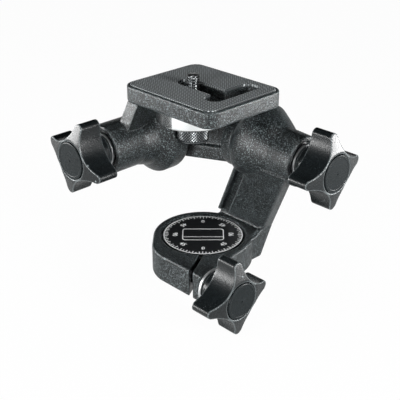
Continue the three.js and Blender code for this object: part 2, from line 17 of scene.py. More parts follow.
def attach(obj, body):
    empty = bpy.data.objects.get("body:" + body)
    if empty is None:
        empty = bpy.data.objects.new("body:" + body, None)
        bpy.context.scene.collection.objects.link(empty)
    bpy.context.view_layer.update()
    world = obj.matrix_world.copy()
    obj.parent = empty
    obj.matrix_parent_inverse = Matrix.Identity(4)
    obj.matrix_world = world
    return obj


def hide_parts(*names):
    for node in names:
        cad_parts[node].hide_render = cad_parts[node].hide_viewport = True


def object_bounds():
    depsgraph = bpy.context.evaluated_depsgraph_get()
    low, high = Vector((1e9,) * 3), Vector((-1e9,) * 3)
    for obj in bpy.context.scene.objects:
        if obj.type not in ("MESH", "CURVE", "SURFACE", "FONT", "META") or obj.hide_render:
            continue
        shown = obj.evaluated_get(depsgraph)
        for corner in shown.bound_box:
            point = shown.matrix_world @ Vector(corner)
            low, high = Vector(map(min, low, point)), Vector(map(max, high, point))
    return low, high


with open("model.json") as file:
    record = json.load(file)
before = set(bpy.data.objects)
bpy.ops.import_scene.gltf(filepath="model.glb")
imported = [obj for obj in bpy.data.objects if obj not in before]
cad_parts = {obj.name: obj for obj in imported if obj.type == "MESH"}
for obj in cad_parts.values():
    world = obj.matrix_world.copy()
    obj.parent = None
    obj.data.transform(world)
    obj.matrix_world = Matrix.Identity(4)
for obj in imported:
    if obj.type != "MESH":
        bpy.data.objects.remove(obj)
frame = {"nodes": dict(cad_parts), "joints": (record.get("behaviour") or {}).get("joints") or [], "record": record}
cad_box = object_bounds()
nodes = frame["nodes"]
MM = 0.001
print("nodes:", len(nodes), "box in mm:", [round(side / MM, 1) for side in cad_box[1] - cad_box[0]])

# %% [markdown]
# The joints say where the three axes run. Reading them here, in millimetres, keeps every new piece on the
# same lines as the construction, with nothing typed twice.

# %% The axes
joints = {joint["name"]: joint for joint in frame["joints"]}


def joint_place(name):
    return [side / MM for side in joints[name]["pos_m"]]


TILT_Y, AXIS_Z = joint_place("tilt")[1:]
ROLL_X = joint_place("side_tilt")[0]
SCREW_X, SCREW_Y = joint_place("screw_turn")[:2]
CLAMP_Y, CLAMP_Z = joint_place("pan_lock")[1:]
QUARTER = math.pi / 2
print("tilt axis at y, z:", round(TILT_Y, 2), round(AXIS_Z, 2), "side tilt axis at x:", round(ROLL_X, 2))

# %% [markdown]
# The camera comes first, because it decides how large everything shows. A short telephoto lens from well
# back keeps the knobs from looking swollen. It looks down at the head's front corner.

# %% The camera
CAMERA_PLACE = Vector((260.8, -255.9, 212.0)) * MM
VIEW_AZIMUTH = 45.78
VIEW_PITCH = 26.14
LENS, SENSOR = 76.05, 36


def outwards(azimuth, elevation):
    """The direction from the head with this azimuth and elevation, in degrees."""
    turn, rise = math.radians(azimuth), math.radians(elevation)
    return Vector((math.sin(turn) * math.cos(rise), -math.cos(turn) * math.cos(rise), math.sin(rise)))


def face_back(piece, out):
    """Turns a camera or a lamp so that it looks against the direction out."""
    piece.rotation_euler = (-out).to_track_quat("-Z", "Y").to_euler()


bpy.ops.object.camera_add(location=CAMERA_PLACE)
camera = bpy.context.object
camera.name = "camera"
face_back(camera, outwards(VIEW_AZIMUTH, VIEW_PITCH))
camera.data.lens, camera.data.sensor_width = LENS, SENSOR
bpy.context.scene.camera = camera
print("camera stands", round(CAMERA_PLACE.length / MM), "mm from the origin")

# %% [markdown]
# The floor, the surroundings and every finish are made of shader nodes. These helpers place a node, fill
# its inputs with plain values or with the outputs of other nodes, and give back its own outputs.

# %% Node helpers
def plug(value, socket):
    """Links an output socket to an input, or sets the input to a plain value."""
    if isinstance(value, bpy.types.NodeSocket):
        socket.id_data.links.new(value, socket)
    else:
        socket.default_value = value


def fill(placed, **values):
    """Plugs values into the inputs of these names, with their spaces written as underscores."""
    for name, value in values.items():
        plug(value, placed.inputs[name.replace("_", " ")])


def node(tree, kind, settings=None, **values):
    """Adds a node with its settings and its inputs, and gives its outputs."""
    new = tree.nodes.new(kind)
    for name, value in (settings or {}).items():
        setattr(new, name, value)
    fill(new, **values)
    return new.outputs


def math_node(tree, operation, *entries):
    """The result of a Math node; each entry is a socket or a number."""
    new = tree.nodes.new("ShaderNodeMath")
    new.operation = operation
    for entry, socket in zip(entries, new.inputs):
        plug(entry, socket)
    return new.outputs[0]


def new_material(name):
    """A material, with its node tree and its Principled shader."""
    material = bpy.data.materials.new(name)
    material.use_nodes = True
    tree = material.node_tree
    return material, tree, tree.nodes["Principled BSDF"]


print("node helpers are ready")

# %% [markdown]
# A product photo on white needs a pale floor and soft lamps. A lit floor alone would come out grey and
# uneven. So the floor answers the camera mostly with white light, and every other ray with a plain pale
# paint. Black paint looks black only where it mirrors something dark, so a mirrored ray gets just an eighth
# of the floor's white.

# %% The floor
FLOOR_SIZE = 4.0
FLOOR_DROP = 0.5 * MM
FLOOR_PAINT = {"Base_Color": (0.7, 0.71, 0.71, 1), "Roughness": 0.9, "Specular_IOR_Level": 0.1}
FLOOR_MIRRORED = 0.12
SHADOW_SHARE = 0.03


def white_when_seen(tree, plain, output, share, mirrored):
    """Mixes white into a plain shader by share, for camera rays in full and for mirrored ones in part."""
    ray = node(tree, "ShaderNodeLightPath")
    bounced = math_node(tree, "ADD", ray["Is Glossy Ray"], ray["Is Transmission Ray"])
    seen = math_node(tree, "ADD", ray["Is Camera Ray"], math_node(tree, "MULTIPLY", bounced, mirrored))
    amount = node(tree, "ShaderNodeClamp", Value=math_node(tree, "MULTIPLY", seen, share))
    mix = tree.nodes.new("ShaderNodeMixShader")
    for source, socket in zip((amount[0], plain, node(tree, "ShaderNodeEmission")[0]), mix.inputs):
        plug(source, socket)
    plug(mix.outputs[0], output)


bpy.ops.mesh.primitive_plane_add(size=FLOOR_SIZE, location=(0, 0, cad_box[0].z - FLOOR_DROP))
floor = bpy.context.object
floor.name = "floor"
floor_paint, tree, shader = new_material("pale_floor")
fill(shader, **FLOOR_PAINT)
surface = tree.nodes["Material Output"].inputs["Surface"]
white_when_seen(tree, shader.outputs[0], surface, 1 - SHADOW_SHARE, FLOOR_MIRRORED)
floor.data.materials.append(floor_paint)
print("floor at", round(floor.location.z / MM, 1), "mm")

# %% [markdown]
# The surroundings are a nearly black room that the camera sees as white. A picture of a real studio could
# stand in for it, but a file may not be read here, and a plain rule is easier to change. What the head
# mirrors of the room is white only low down, like the sweep of paper behind a small product.

# %% The surroundings
SWEEP_TOP = (0.02, 0.12)
AMBIENT = 0.02
world = bpy.data.worlds.new("studio")
bpy.context.scene.world = world
world.use_nodes = True
sky = world.node_tree
ambient = sky.nodes["Background"]
fill(ambient, Strength=AMBIENT)
direction = node(sky, "ShaderNodeSeparateXYZ", Vector=node(sky, "ShaderNodeTexCoord")["Generated"])
sweep = node(sky, "ShaderNodeMapRange", Value=direction["Z"], From_Min=SWEEP_TOP[0], From_Max=SWEEP_TOP[1],
             To_Min=1, To_Max=0)
backdrop = sky.nodes["World Output"].inputs["Surface"]
white_when_seen(sky, ambient.outputs[0], backdrop, 1, sweep[0])
bpy.context.scene.view_settings.view_transform = "Standard"
print("surroundings:", world.name)

# %% [markdown]
# Five soft boxes light the head. A wide one on the left and a wide one at the back right draw the bright
# edges, two small ones light the faces that look forwards and to the right, and a weak one hangs above.
# Each has a place by azimuth and elevation round the head, in degrees, and its other sizes in metres and
# watts.

# %% The lamps
SOFT_BOXES = {
    # azimuth, elevation, distance, width, height, power
    "left": (-50, 6, 0.6, 0.36, 0.15, 3.6),
    "front": (3, 12, 0.6, 0.16, 0.16, 3.2),
    "side": (99, 16, 0.6, 0.16, 0.16, 4),
    "right": (138, -2, 0.6, 0.36, 0.1, 3.6),
    "top": (0, 88, 0.8, 0.3, 0.3, 1.4),
}


def soft_box(name, azimuth, elevation, distance, width, height, power):
    """An area lamp that faces the middle of the head."""
    out = outwards(azimuth, elevation)
    bpy.ops.object.light_add(type="AREA", location=(cad_box[0] + cad_box[1]) / 2 + out * distance)
    lamp = bpy.context.object
    lamp.name = name
    face_back(lamp, out)
    lamp.data.shape = "RECTANGLE"
    lamp.data.size, lamp.data.size_y = width, height
    lamp.data.energy = power


for name, values in SOFT_BOXES.items():
    soft_box(name + "_soft_box", *values)
print("lamps:", list(SOFT_BOXES))

# %% [markdown]
# Every finish on the head is a plain material with a fine surface: the pebbled powder coat, moulded
# plastic, polished or blued metal. Three effects come back in many of them, so each is a node group with
# its own inputs. The first is a grain: noise that gives a height, and a mask of flecks where it is high.

# %% The grain group
FLECK_RAMP = 0.16


def new_group(name, inputs, outputs):
    """A node group with float sockets, given as input names with values and output names."""
    group = bpy.data.node_groups.new(name, "ShaderNodeTree")
    for label, value in inputs.items():
        socket = group.interface.new_socket(label, in_out="INPUT", socket_type="NodeSocketFloat")
        socket.default_value = value
    for label in outputs:
        group.interface.new_socket(label, in_out="OUTPUT", socket_type="NodeSocketFloat")
    return group, node(group, "NodeGroupInput"), group.nodes.new("NodeGroupOutput")


grain, given, result = new_group("grain", {"Scale": 1500, "Fleck Share": 0.53}, ["Height", "Fleck"])
pebbles = node(grain, "ShaderNodeTexNoise", Vector=node(grain, "ShaderNodeTexCoord")["Object"],
               Scale=given["Scale"], Detail=2, Roughness=0.6)["Fac"]
fleck = node(grain, "ShaderNodeMapRange", Value=pebbles, From_Min=given["Fleck Share"],
             From_Max=math_node(grain, "ADD", given["Fleck Share"], FLECK_RAMP))
fill(result, Height=pebbles, Fleck=fleck[0])
print("grain inputs:", given.keys())

# %% [markdown]
# The second effect is a paler tone on the edges: part wear, and on the black finishes mainly a painted
# highlight. The mesh knows how pointed it is at each corner, and a Map Range turns that into a mask. The
# third is a slow cloud, for the change of tone over a larger surface.

# %% The edge and cloud groups
edge_wear, given, result = new_group("edge_wear", {"Start": 0.51, "End": 0.57}, ["Edge"])
edge = node(edge_wear, "ShaderNodeMapRange", Value=node(edge_wear, "ShaderNodeNewGeometry")["Pointiness"],
            From_Min=given["Start"], From_Max=given["End"])
fill(result, Edge=edge[0])

cloud, given, result = new_group("cloud", {"Scale": 60}, ["Tone"])
drift = node(cloud, "ShaderNodeTexNoise", Vector=node(cloud, "ShaderNodeTexCoord")["Object"],
             Scale=given["Scale"], Detail=3)
fill(result, Tone=drift["Fac"])
print("groups:", [group.name for group in bpy.data.node_groups])

# %% [markdown]
# One function builds all the coated and moulded finishes. The base colour runs from a dark to a light tone
# with the cloud, and the flecks and the edges take paler tones. On the powder coat the pale flecks are painted
# glints, and on the black finishes the pale edges are mainly a painted highlight. The flecks also make the
# gloss uneven. The grain's height goes through a Bump node with a real depth: two tenths of a millimetre for
# the powder coat, which noise of this size shows as soft pebbles, and a few hundredths for moulded plastic.

# %% How a finish is built
def use(tree, group, **values):
    """Places a node group and gives its outputs."""
    return node(tree, "ShaderNodeGroup", {"node_tree": group}, **values)


def mix_colors(tree, amount, first, second):
    """Mixes two colours, each a socket or a value, by the amount socket."""
    mix = tree.nodes.new("ShaderNodeMix")
    mix.data_type = "RGBA"
    plug(amount, mix.inputs["Factor"])
    for label, color in (("A", first), ("B", second)):
        socket = [entry for entry in mix.inputs if entry.name == label and entry.type == "RGBA"][0]
        plug((*color, 1) if isinstance(color, tuple) else color, socket)
    return [entry for entry in mix.outputs if entry.type == "RGBA"][0]


def surface_relief(tree, shader, mask, gloss, height, depth):
    """The roughness goes from gloss[1] to gloss[0] with the mask, and the height socket makes a bump."""
    roughness = node(tree, "ShaderNodeMapRange", Value=mask, To_Min=gloss[1], To_Max=gloss[0])
    bump = node(tree, "ShaderNodeBump", Strength=1, Distance=depth, Height=height)
    fill(shader, Roughness=roughness[0], Normal=bump["Normal"])


def coated(name, dark, light, speck, wear_and_highlight, gloss, grain_size, depth, edge_share=0.6, metallic=0, sheen=0.5):
    """A grained finish: gloss is the roughness of (flecks, ground), grain_size and depth are in metres.

    edge_share is how much of the pale edge tone the edges take, which is part wear and part painted
    highlight, and sheen is how much a smooth face mirrors.
    """
    material, tree, shader = new_material(name)
    grained = use(tree, grain, Scale=1 / grain_size)
    tone = mix_colors(tree, use(tree, cloud)["Tone"], dark, light)
    # The flecks take a paler colour; on the powder coat it is a painted glint.
    flecked = mix_colors(tree, grained["Fleck"], tone, speck)
    # The edges take a paler tone: part wear, and on the black finishes mainly a painted highlight.
    edges = math_node(tree, "MULTIPLY", use(tree, edge_wear)["Edge"], edge_share)
    fill(shader, Base_Color=mix_colors(tree, edges, flecked, wear_and_highlight), Metallic=metallic,
         Specular_IOR_Level=sheen)
    surface_relief(tree, shader, grained["Fleck"], gloss, grained["Height"], depth)
    return material


print("groups in each finish:", grain.name, cloud.name, edge_wear.name)

# %% [markdown]
# The castings wear a nearly black powder coat. Each of its grains catches a point of light, and these glints
# are painted into the pale colour of the flecks; its pale edges are part rubbed and part painted highlight.
# The knobs are smooth moulded plastic with a painted highlight along their edges, and their caps are duller.
# The sleeves inside the barrels are an off-white bearing plastic.

# %% Coated and moulded finishes
# The powder coat's pale fleck colour is a painted glint, and its pale edge tone part wear and part painted
# highlight.
powder_coat = coated(
    "powder_coat", dark=(0.001, 0.0016, 0.002), light=(0.004, 0.0055, 0.006), speck=(0.18, 0.212, 0.22),
    wear_and_highlight=(0.16, 0.19, 0.195), gloss=(0.2, 0.34), grain_size=0.55 * MM, depth=0.2 * MM, edge_share=0.3,
    sheen=0.4)
# The knob's pale edge tone is a painted highlight.
knob_plastic = coated(
    "knob_plastic", dark=(0.002, 0.003, 0.0034), light=(0.005, 0.007, 0.0078), speck=(0.016, 0.02, 0.022),
    wear_and_highlight=(0.3, 0.34, 0.35), gloss=(0.2, 0.28), grain_size=0.5 * MM, depth=0.03 * MM, sheen=0.42)
cap_plastic = coated(
    "cap_plastic", dark=(0.005, 0.007, 0.0078), light=(0.008, 0.011, 0.012), speck=(0.012, 0.016, 0.018),
    wear_and_highlight=(0.06, 0.07, 0.073), gloss=(0.22, 0.3), grain_size=0.7 * MM, depth=0.02 * MM, edge_share=0,
    sheen=0.15)
liner_plastic = coated(
    "liner_plastic", dark=(0.62, 0.6, 0.54), light=(0.72, 0.7, 0.64), speck=(0.74, 0.72, 0.66),
    wear_and_highlight=(0.8, 0.79, 0.74), gloss=(0.35, 0.5), grain_size=0.5 * MM, depth=0.02 * MM)
print("coated finishes:", powder_coat.name, knob_plastic.name, cap_plastic.name, liner_plastic.name)

# %% [markdown]
# The metals use the same groups, with Metallic at one. The grain is much finer here and only a few
# thousandths of a millimetre deep. Its uneven gloss keeps a polished face from looking like a mirror ball.

# %% Metal finishes
polished = coated(
    "polished_aluminium", dark=(0.78, 0.8, 0.8), light=(0.88, 0.9, 0.9), speck=(0.86, 0.88, 0.88),
    wear_and_highlight=(0.95, 0.96, 0.96), gloss=(0.12, 0.22), grain_size=0.35 * MM, depth=0.004 * MM, metallic=1)
bright_steel = coated(
    "bright_steel", dark=(0.34, 0.36, 0.37), light=(0.46, 0.48, 0.49), speck=(0.5, 0.52, 0.53),
    wear_and_highlight=(0.8, 0.81, 0.81), gloss=(0.3, 0.44), grain_size=0.3 * MM, depth=0.006 * MM, metallic=1)
blued_steel = coated(
    "blued_steel", dark=(0.035, 0.04, 0.043), light=(0.06, 0.066, 0.07), speck=(0.08, 0.087, 0.09),
    wear_and_highlight=(0.7, 0.72, 0.72), gloss=(0.25, 0.4), grain_size=0.3 * MM, depth=0.01 * MM, metallic=1)
screw_steel = coated(
    "screw_steel", dark=(0.1, 0.11, 0.115), light=(0.17, 0.18, 0.185), speck=(0.22, 0.23, 0.235),
    wear_and_highlight=(0.6, 0.61, 0.61), gloss=(0.2, 0.3), grain_size=0.3 * MM, depth=0.004 * MM, metallic=1)
print("metals:", polished.name, bright_steel.name, blued_steel.name, screw_steel.name)

# %% [markdown]
# The dial is a printed film under clear lacquer, so its black is deep and glossy with hardly any grain. The
# white ink on it is a plain matt white with the faintest mottling.

# %% Dial finishes
dial_film = coated(
    "dial_film", dark=(0.002, 0.0022, 0.0024), light=(0.004, 0.0045, 0.005), speck=(0.005, 0.0055, 0.006),
    wear_and_highlight=(0.02, 0.022, 0.024), gloss=(0.3, 0.36), grain_size=0.6 * MM, depth=0.004 * MM)
dial_ink = coated(
    "dial_ink", dark=(0.74, 0.76, 0.76), light=(0.8, 0.82, 0.82), speck=(0.82, 0.84, 0.84),
    wear_and_highlight=(0.85, 0.87, 0.87), gloss=(0.45, 0.55), grain_size=0.2 * MM, depth=0.004 * MM)
print("dial finishes:", dial_film.name, dial_ink.name)

# %% [markdown]
# The pad under the camera is a grey rubbery facing with fine dots in rows. Two sine waves, one along X and
# one along Y, multiply into a field of dots. They are a tenth of a millimetre high, so a bump is enough.

# %% Pad finish
DOTS = Sizes(pitch=1.35 * MM, height=0.12 * MM, color=(0.56, 0.6, 0.61))
RUBBER = Sizes(dark=(0.012, 0.016, 0.018), light=(0.02, 0.026, 0.028), speck=(0.16, 0.175, 0.178),
               speck_share=0.25, gloss=(0.6, 0.75), grain_size=0.5 * MM)


def dotted_rubber():
    """The pad's finish: dots in rows on a dark ground, with a few flecks over both."""
    material, tree, shader = new_material("dotted_rubber")
    parts = node(tree, "ShaderNodeSeparateXYZ", Vector=node(tree, "ShaderNodeTexCoord")["Object"])
    waves = []
    for direction in ("X", "Y"):
        turn = math_node(tree, "MULTIPLY", parts[direction], 2 * math.pi / DOTS.pitch)
        waves.append(math_node(tree, "MULTIPLY_ADD", math_node(tree, "SINE", turn), 0.5, 0.5))
    dots = math_node(tree, "MULTIPLY", *waves)
    grained = use(tree, grain, Scale=1 / RUBBER.grain_size)
    tone = mix_colors(tree, use(tree, cloud)["Tone"], RUBBER.dark, RUBBER.light)
    dotted = mix_colors(tree, dots, tone, DOTS.color)
    specks = math_node(tree, "MULTIPLY", grained["Fleck"], RUBBER.speck_share)
    fill(shader, Base_Color=mix_colors(tree, specks, dotted, RUBBER.speck))
    surface_relief(tree, shader, grained["Fleck"], RUBBER.gloss, dots, DOTS.height)
    return material


pad_rubber = dotted_rubber()
print("pad pitch:", DOTS.pitch / MM, "mm")

# %% [markdown]
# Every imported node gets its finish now, also those inside, so that nothing is left bare where a slot, a gap
# or a raised knob lets the eye in. The nodes that get a finer piece later are hidden by it.

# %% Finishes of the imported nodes
FINISH_OF_SLOT = {
    "casting": powder_coat, "knob": knob_plastic, "cap": cap_plastic, "steel": bright_steel,
    "dark_steel": blued_steel, "aluminium": polished, "liner": liner_plastic, "dial": dial_film,
    "pad": pad_rubber,
}


def dress(piece, slot):
    """Gives the piece the finish of that slot, and only that one."""
    piece.data.materials.clear()
    piece.data.materials.append(FINISH_OF_SLOT[slot])
    return piece


slot_of = {entry["node"]: entry["material_slot"] for entry in frame["record"]["subparts"]}
for name, cad_node in nodes.items():
    dress(cad_node, slot_of[name])
print("dressed", len(nodes), "packed nodes")


def stand_for(piece, body, *names):
    """The piece rides on a body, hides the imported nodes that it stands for, and takes their finish."""
    slot = slot_of[names[0]]
    dress(piece, slot)
    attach(piece, body)
    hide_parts(*names)
    return piece


# %% [markdown]
# A few small helpers keep the later cells short. Each one works the way a hand does: select only what is
# meant, use the operator, and leave the finished object at the origin with its place in its mesh.

# %% Placing pieces
def only(*pieces):
    """Selects just these pieces, the last one active."""
    bpy.ops.object.select_all(action="DESELECT")
    for piece in pieces:
        piece.select_set(True)
    bpy.context.view_layer.objects.active = pieces[-1]


def settle(piece):
    """Writes the object's place, turn and scale into its mesh."""
    only(piece)
    bpy.ops.object.transform_apply(location=True, rotation=True, scale=True)
    return piece


def put(piece, place, turn=(0, 0, 0)):
    """Turns the piece, moves it to a place in mm, and settles it there."""
    piece.rotation_euler = turn
    piece.location = [side * MM for side in place]
    return settle(piece)


print("places are given in units of", MM, "m")

# %% [markdown]
# Solids are joined and cut with Boolean modifiers. Every crossing could be modelled by hand instead, but
# where a slanted arm meets a round barrel that takes long and rarely closes. The manifold solver is quick,
# and closed solids stay closed. Each modifier is applied at once, so that each step leaves a plain mesh.

# %% Joining and cutting
def finish_with(piece, kind, **settings):
    """Adds one modifier and applies it."""
    only(piece)
    modifier = piece.modifiers.new(kind.title(), kind)
    for name, value in settings.items():
        setattr(modifier, name, value)
    bpy.ops.object.modifier_apply(modifier=modifier.name)
    return piece


def combine(piece, tools, operation):
    for tool in tools:
        finish_with(piece, "BOOLEAN", object=tool, operation=operation, solver="MANIFOLD")
        bpy.data.objects.remove(tool)
    return piece


def join(piece, *tools):
    """Joins the tools to the piece, which takes them up."""
    return combine(piece, tools, "UNION")


def cut(piece, *tools):
    """Cuts the tools out of the piece, which uses them up."""
    return combine(piece, tools, "DIFFERENCE")


def shade_rounds(piece, degrees=35):
    """Shades smooth, but keeps edges sharper than this angle."""
    only(piece)
    bpy.ops.object.shade_smooth_by_angle(angle=math.radians(degrees))
    return piece


def faces_out(piece):
    """Merges corners that coincide and turns all faces outwards."""
    only(piece)
    bpy.ops.object.mode_set(mode="EDIT")
    bpy.ops.mesh.select_all(action="SELECT")
    bpy.ops.mesh.remove_doubles(threshold=0.001 * MM)
    bpy.ops.mesh.normals_make_consistent(inside=False)
    bpy.ops.object.mode_set(mode="OBJECT")
    return piece


print("object helpers are ready")

# %% [markdown]
# Most of the head was turned. Spin would need a profile drawn edge by edge, so a turned piece starts as one
# round face here, which is extruded and scaled ring by ring, as on a lathe. Tools that cut reach past the
# face that they cut, and pieces that are joined reach into each other, by the same plain millimetre.

# %% Turned pieces
COARSE, FINE, FINEST = 64, 128, 192
PAST = 1
HOOD_TURN = 0.96


def turned(name, rings, segments=FINE):
    """A closed round solid along Z from rings of (radius, height) in mm, or (radius, height, shift).

    A shift moves the middle of that ring sideways, the way that HOOD_TURN points.
    """
    radius, height = rings[0][:2]
    bpy.ops.mesh.primitive_circle_add(
        vertices=segments, radius=radius * MM, fill_type="NGON", location=(0, 0, height * MM))
    piece = settle(bpy.context.object)
    piece.name = name
    bpy.ops.object.mode_set(mode="EDIT")
    bpy.ops.mesh.select_all(action="SELECT")
    shift = 0
    for ring in rings[1:]:
        next_shift = ring[2] if len(ring) > 2 else 0
        slide = (next_shift - shift) * MM
        step = Vector((-slide * math.sin(HOOD_TURN), slide * math.cos(HOOD_TURN), (ring[1] - height) * MM))
        bpy.ops.mesh.extrude_region_move(TRANSFORM_OT_translate={"value": step})
        middle = Vector((-next_shift * math.sin(HOOD_TURN), next_shift * math.cos(HOOD_TURN), ring[1])) * MM
        grow = ring[0] / radius
        bpy.ops.transform.resize(value=(grow, grow, 1), center_override=middle)
        radius, height, shift = ring[0], ring[1], next_shift
    bpy.ops.object.mode_set(mode="OBJECT")
    return faces_out(piece)


def rod(name, radius, low, high, segments=FINE):
    return turned(name, [(radius, low), (radius, high)], segments)


print("turned pieces have", FINE, "sides")

# %% [markdown]
# What isn't round is a prism or a block. A prism starts as a flat n-sided face whose corners are put in
# place, and is then extruded upwards, so its outline can be read off like a drawing. A block is a cube whose
# eight corners are moved, for bars that lean.

# %% Prisms and blocks
def prism(name, corners, low, high):
    """A flat face with these corners in mm, extruded upwards from low to high."""
    bpy.ops.mesh.primitive_circle_add(vertices=len(corners), radius=1, fill_type="NGON")
    piece = bpy.context.object
    piece.name = name
    for vertex, (x, y) in zip(piece.data.vertices, corners):
        vertex.co = Vector((x, y, low)) * MM
    bpy.ops.object.mode_set(mode="EDIT")
    bpy.ops.mesh.select_all(action="SELECT")
    bpy.ops.mesh.extrude_region_move(TRANSFORM_OT_translate={"value": (0, 0, (high - low) * MM)})
    bpy.ops.object.mode_set(mode="OBJECT")
    return faces_out(piece)


def block(name, corners):
    """A box whose eight corners, in mm, are given as four below and the four above them."""
    bpy.ops.mesh.primitive_cube_add(size=1)
    piece = bpy.context.object
    piece.name = name
    order = ((-1, -1), (1, -1), (1, 1), (-1, 1))
    for vertex in piece.data.vertices:
        side = order.index((math.copysign(1, vertex.co.x), math.copysign(1, vertex.co.y)))
        vertex.co = Vector(corners[side + (4 if vertex.co.z > 0 else 0)]) * MM
    return faces_out(piece)


print("tools reach", PAST, "mm past what they cut")

# %% [markdown]
# The two barrels lie down. A piece that was turned along Z is tipped onto its axis and moved there.

# %% Lying pieces
TOWARDS_X = (0, QUARTER, 0)
TOWARDS_FRONT = (QUARTER, 0, 0)


def along_tilt(piece):
    return put(piece, (0, TILT_Y, AXIS_Z), TOWARDS_X)


def along_roll(piece):
    return put(piece, (ROLL_X, 0, AXIS_Z), TOWARDS_FRONT)


print("both barrels lie at", round(AXIS_Z, 1), "mm")

# %% [markdown]
# A die casting has no sharp edge anywhere: metal doesn't fill a corner and the powder coat rounds it again.
# The joined and cut solid is remeshed with small voxels and then relaxed, which leaves an even round of
# about half a millimetre on every edge and a small fillet in every corner.

# %% Casting finish
def cast(piece, voxel, passes=3):
    """Remeshes with voxels of this size, in mm, and relaxes the result."""
    finish_with(piece, "REMESH", mode="VOXEL", voxel_size=voxel * MM, use_smooth_shade=True)
    finish_with(piece, "SMOOTH", factor=0.5, iterations=passes)
    print(piece.name, "faces:", len(piece.data.polygons))
    return piece


print("casting finish is ready")

# %% [markdown]
# The two barrels hold the journals of the elbow. Both end in a ring with a groove, where a knob's washer
# presses, and both flare towards the elbow. The flare could be a bent surface, but each ring of a turned
# piece is one width that the photo shows, so it is easy to compare. The tilt barrel's flare is drawn out at
# the top and back into a hood, so its rings are shifted sideways as they grow.

# %% The barrels
BARREL = Sizes(radius=12, rim=9.8, rim_depth=1, boss=7.6, groove=2.4, bore=10.3, wall=5.2, chamfer=0.6,
               stud=3.3, sleeve=1.4)
TILT_BARREL = Sizes(start=10.2, length=33.8, flare=21)
ROLL_BARREL = Sizes(start=-3, length=38.8, flare=22)
TILT_FLARE_SHARES = [
    (0, 1.1, 1.1), (0.04, 1.24, 1.25), (0.1, 1.27, 1.38), (0.18, 1.27, 1.54), (0.25, 1.26, 1.66),
    (0.32, 1.24, 1.72), (0.4, 1.21, 1.71), (0.7, 1.11, 1.4), (1, 1, 1.06),
]
ROLL_FLARE_SHARES = [
    (0, 1.38, 1.38), (0.03, 1.53, 1.53), (0.1, 1.58, 1.58), (0.42, 1.58, 1.58), (0.67, 1.15, 1.15),
    (1, 1, 1),
]


def barrel_shell(name, size, shares):
    """The outside: shares are (part of the flare, reach to the front, reach to the back) in radii."""
    start, end, radius = size.start, size.start + size.length, BARREL.radius
    rings = [
        (radius * (front + back) / 2, start + run * size.flare, radius * (back - front) / 2)
        for run, front, back in shares
    ]
    return turned(name, [*rings, (radius, end - BARREL.chamfer), (radius - BARREL.chamfer, end)])


def barrel_hollow(name, size):
    """The inside, from the elbow's end: the bore, the stud's hole, the boss and the groove round it."""
    start, end = size.start, size.start + size.length
    wall_start, groove, rim = end - BARREL.groove - BARREL.wall, end - BARREL.groove, end - BARREL.rim_depth
    return turned(name, [
        (BARREL.bore, start - PAST), (BARREL.bore, wall_start), (BARREL.stud, wall_start),
        (BARREL.stud, rim), (BARREL.boss, rim), (BARREL.boss, groove), (BARREL.rim, groove),
        (BARREL.rim, end + PAST)])


print("barrel lengths:", TILT_BARREL.length, ROLL_BARREL.length, "mm")

# %% [markdown]
# The platform is one casting: the plate with its slot, a leaning bracket, and the side tilt barrel. The
# plate is a prism whose upright edges and then rims are bevelled, as a round corner is easier to change
# as a bevel than as drawn points.

# %% The plate
PLATE = Sizes(above=22.1, length=57.6, width=47.8, shift=-0.6, thickness=7.5, corner=6.6, round=0.6)
PLATE_LOW = AXIS_Z + PLATE.above
PLATE_HIGH = PLATE_LOW + PLATE.thickness
PAD = Sizes(border=1.6, proud=0.5, thickness=1.2, gap=0.3, edge=0.25)


def is_level(first, second):
    """True for an edge whose two corners, in mm, lie at one height."""
    return abs(first.z - second.z) < 0.001


def is_upright(first, second):
    return not is_level(first, second)


def bevel_edges(piece, width, segments, chosen=lambda first, second: True):
    """Bevels, in edit mode, the edges that chosen(first corner, second corner) accepts."""
    only(piece)
    bpy.context.tool_settings.mesh_select_mode = (False, True, False)
    bpy.ops.object.mode_set(mode="EDIT")
    bpy.ops.mesh.select_all(action="DESELECT")
    bpy.ops.object.mode_set(mode="OBJECT")
    corner = piece.data.vertices
    for edge in piece.data.edges:
        edge.select = chosen(*(corner[i].co / MM for i in edge.vertices))
    bpy.ops.object.mode_set(mode="EDIT")
    bpy.ops.mesh.bevel(offset=width * MM, segments=segments, affect="EDGES", clamp_overlap=True)
    bpy.ops.object.mode_set(mode="OBJECT")
    return piece


def slab(name, size, inset, low, high, steps):
    """A slab with a size's outline, drawn in by inset, and its upright edges rounded in steps."""
    x, y = size.length / 2 - inset, size.width / 2 - inset
    left, right = size.shift - x, size.shift + x
    piece = prism(name, [(left, -y), (right, -y), (right, y), (left, y)], low, high)
    return bevel_edges(piece, size.corner - inset, steps, is_upright)


print("plate from", round(PLATE_LOW, 2), "to", round(PLATE_HIGH, 2), "mm")

# %% [markdown]
# The slot has the shape of a T: the screw slides along one leg, and the other runs across the plate. It is
# cut twice, wide above and narrow below, which leaves a ledge inside. The tool for one leg is a round-ended
# bar. Two cylinders and a box would do as well, but a cylinder that is pulled apart is one clean solid.

# %% The slot
SLOT = Sizes(width=9.5, ledge_width=7.3, ledge=2.5, start=-8.6, cross_x=15.3, front=-12.8, back=18)


def stadium(name, start, end, width, low, high):
    """A round-ended bar between two points: a cylinder whose far half is pulled along."""
    reach = Vector(end) - Vector(start)
    bpy.ops.mesh.primitive_cylinder_add(
        vertices=COARSE, radius=width / 2 * MM, depth=(high - low) * MM,
        rotation=(0, 0, math.pi / COARSE), location=(start[0] * MM, start[1] * MM, (high + low) / 2 * MM))
    bar = settle(bpy.context.object)
    bar.name = name
    for vertex in bar.data.vertices:
        if (vertex.co.xy / MM - Vector(start)).dot(reach) > 0:
            vertex.co.xy += reach * MM
    return faces_out(bar)


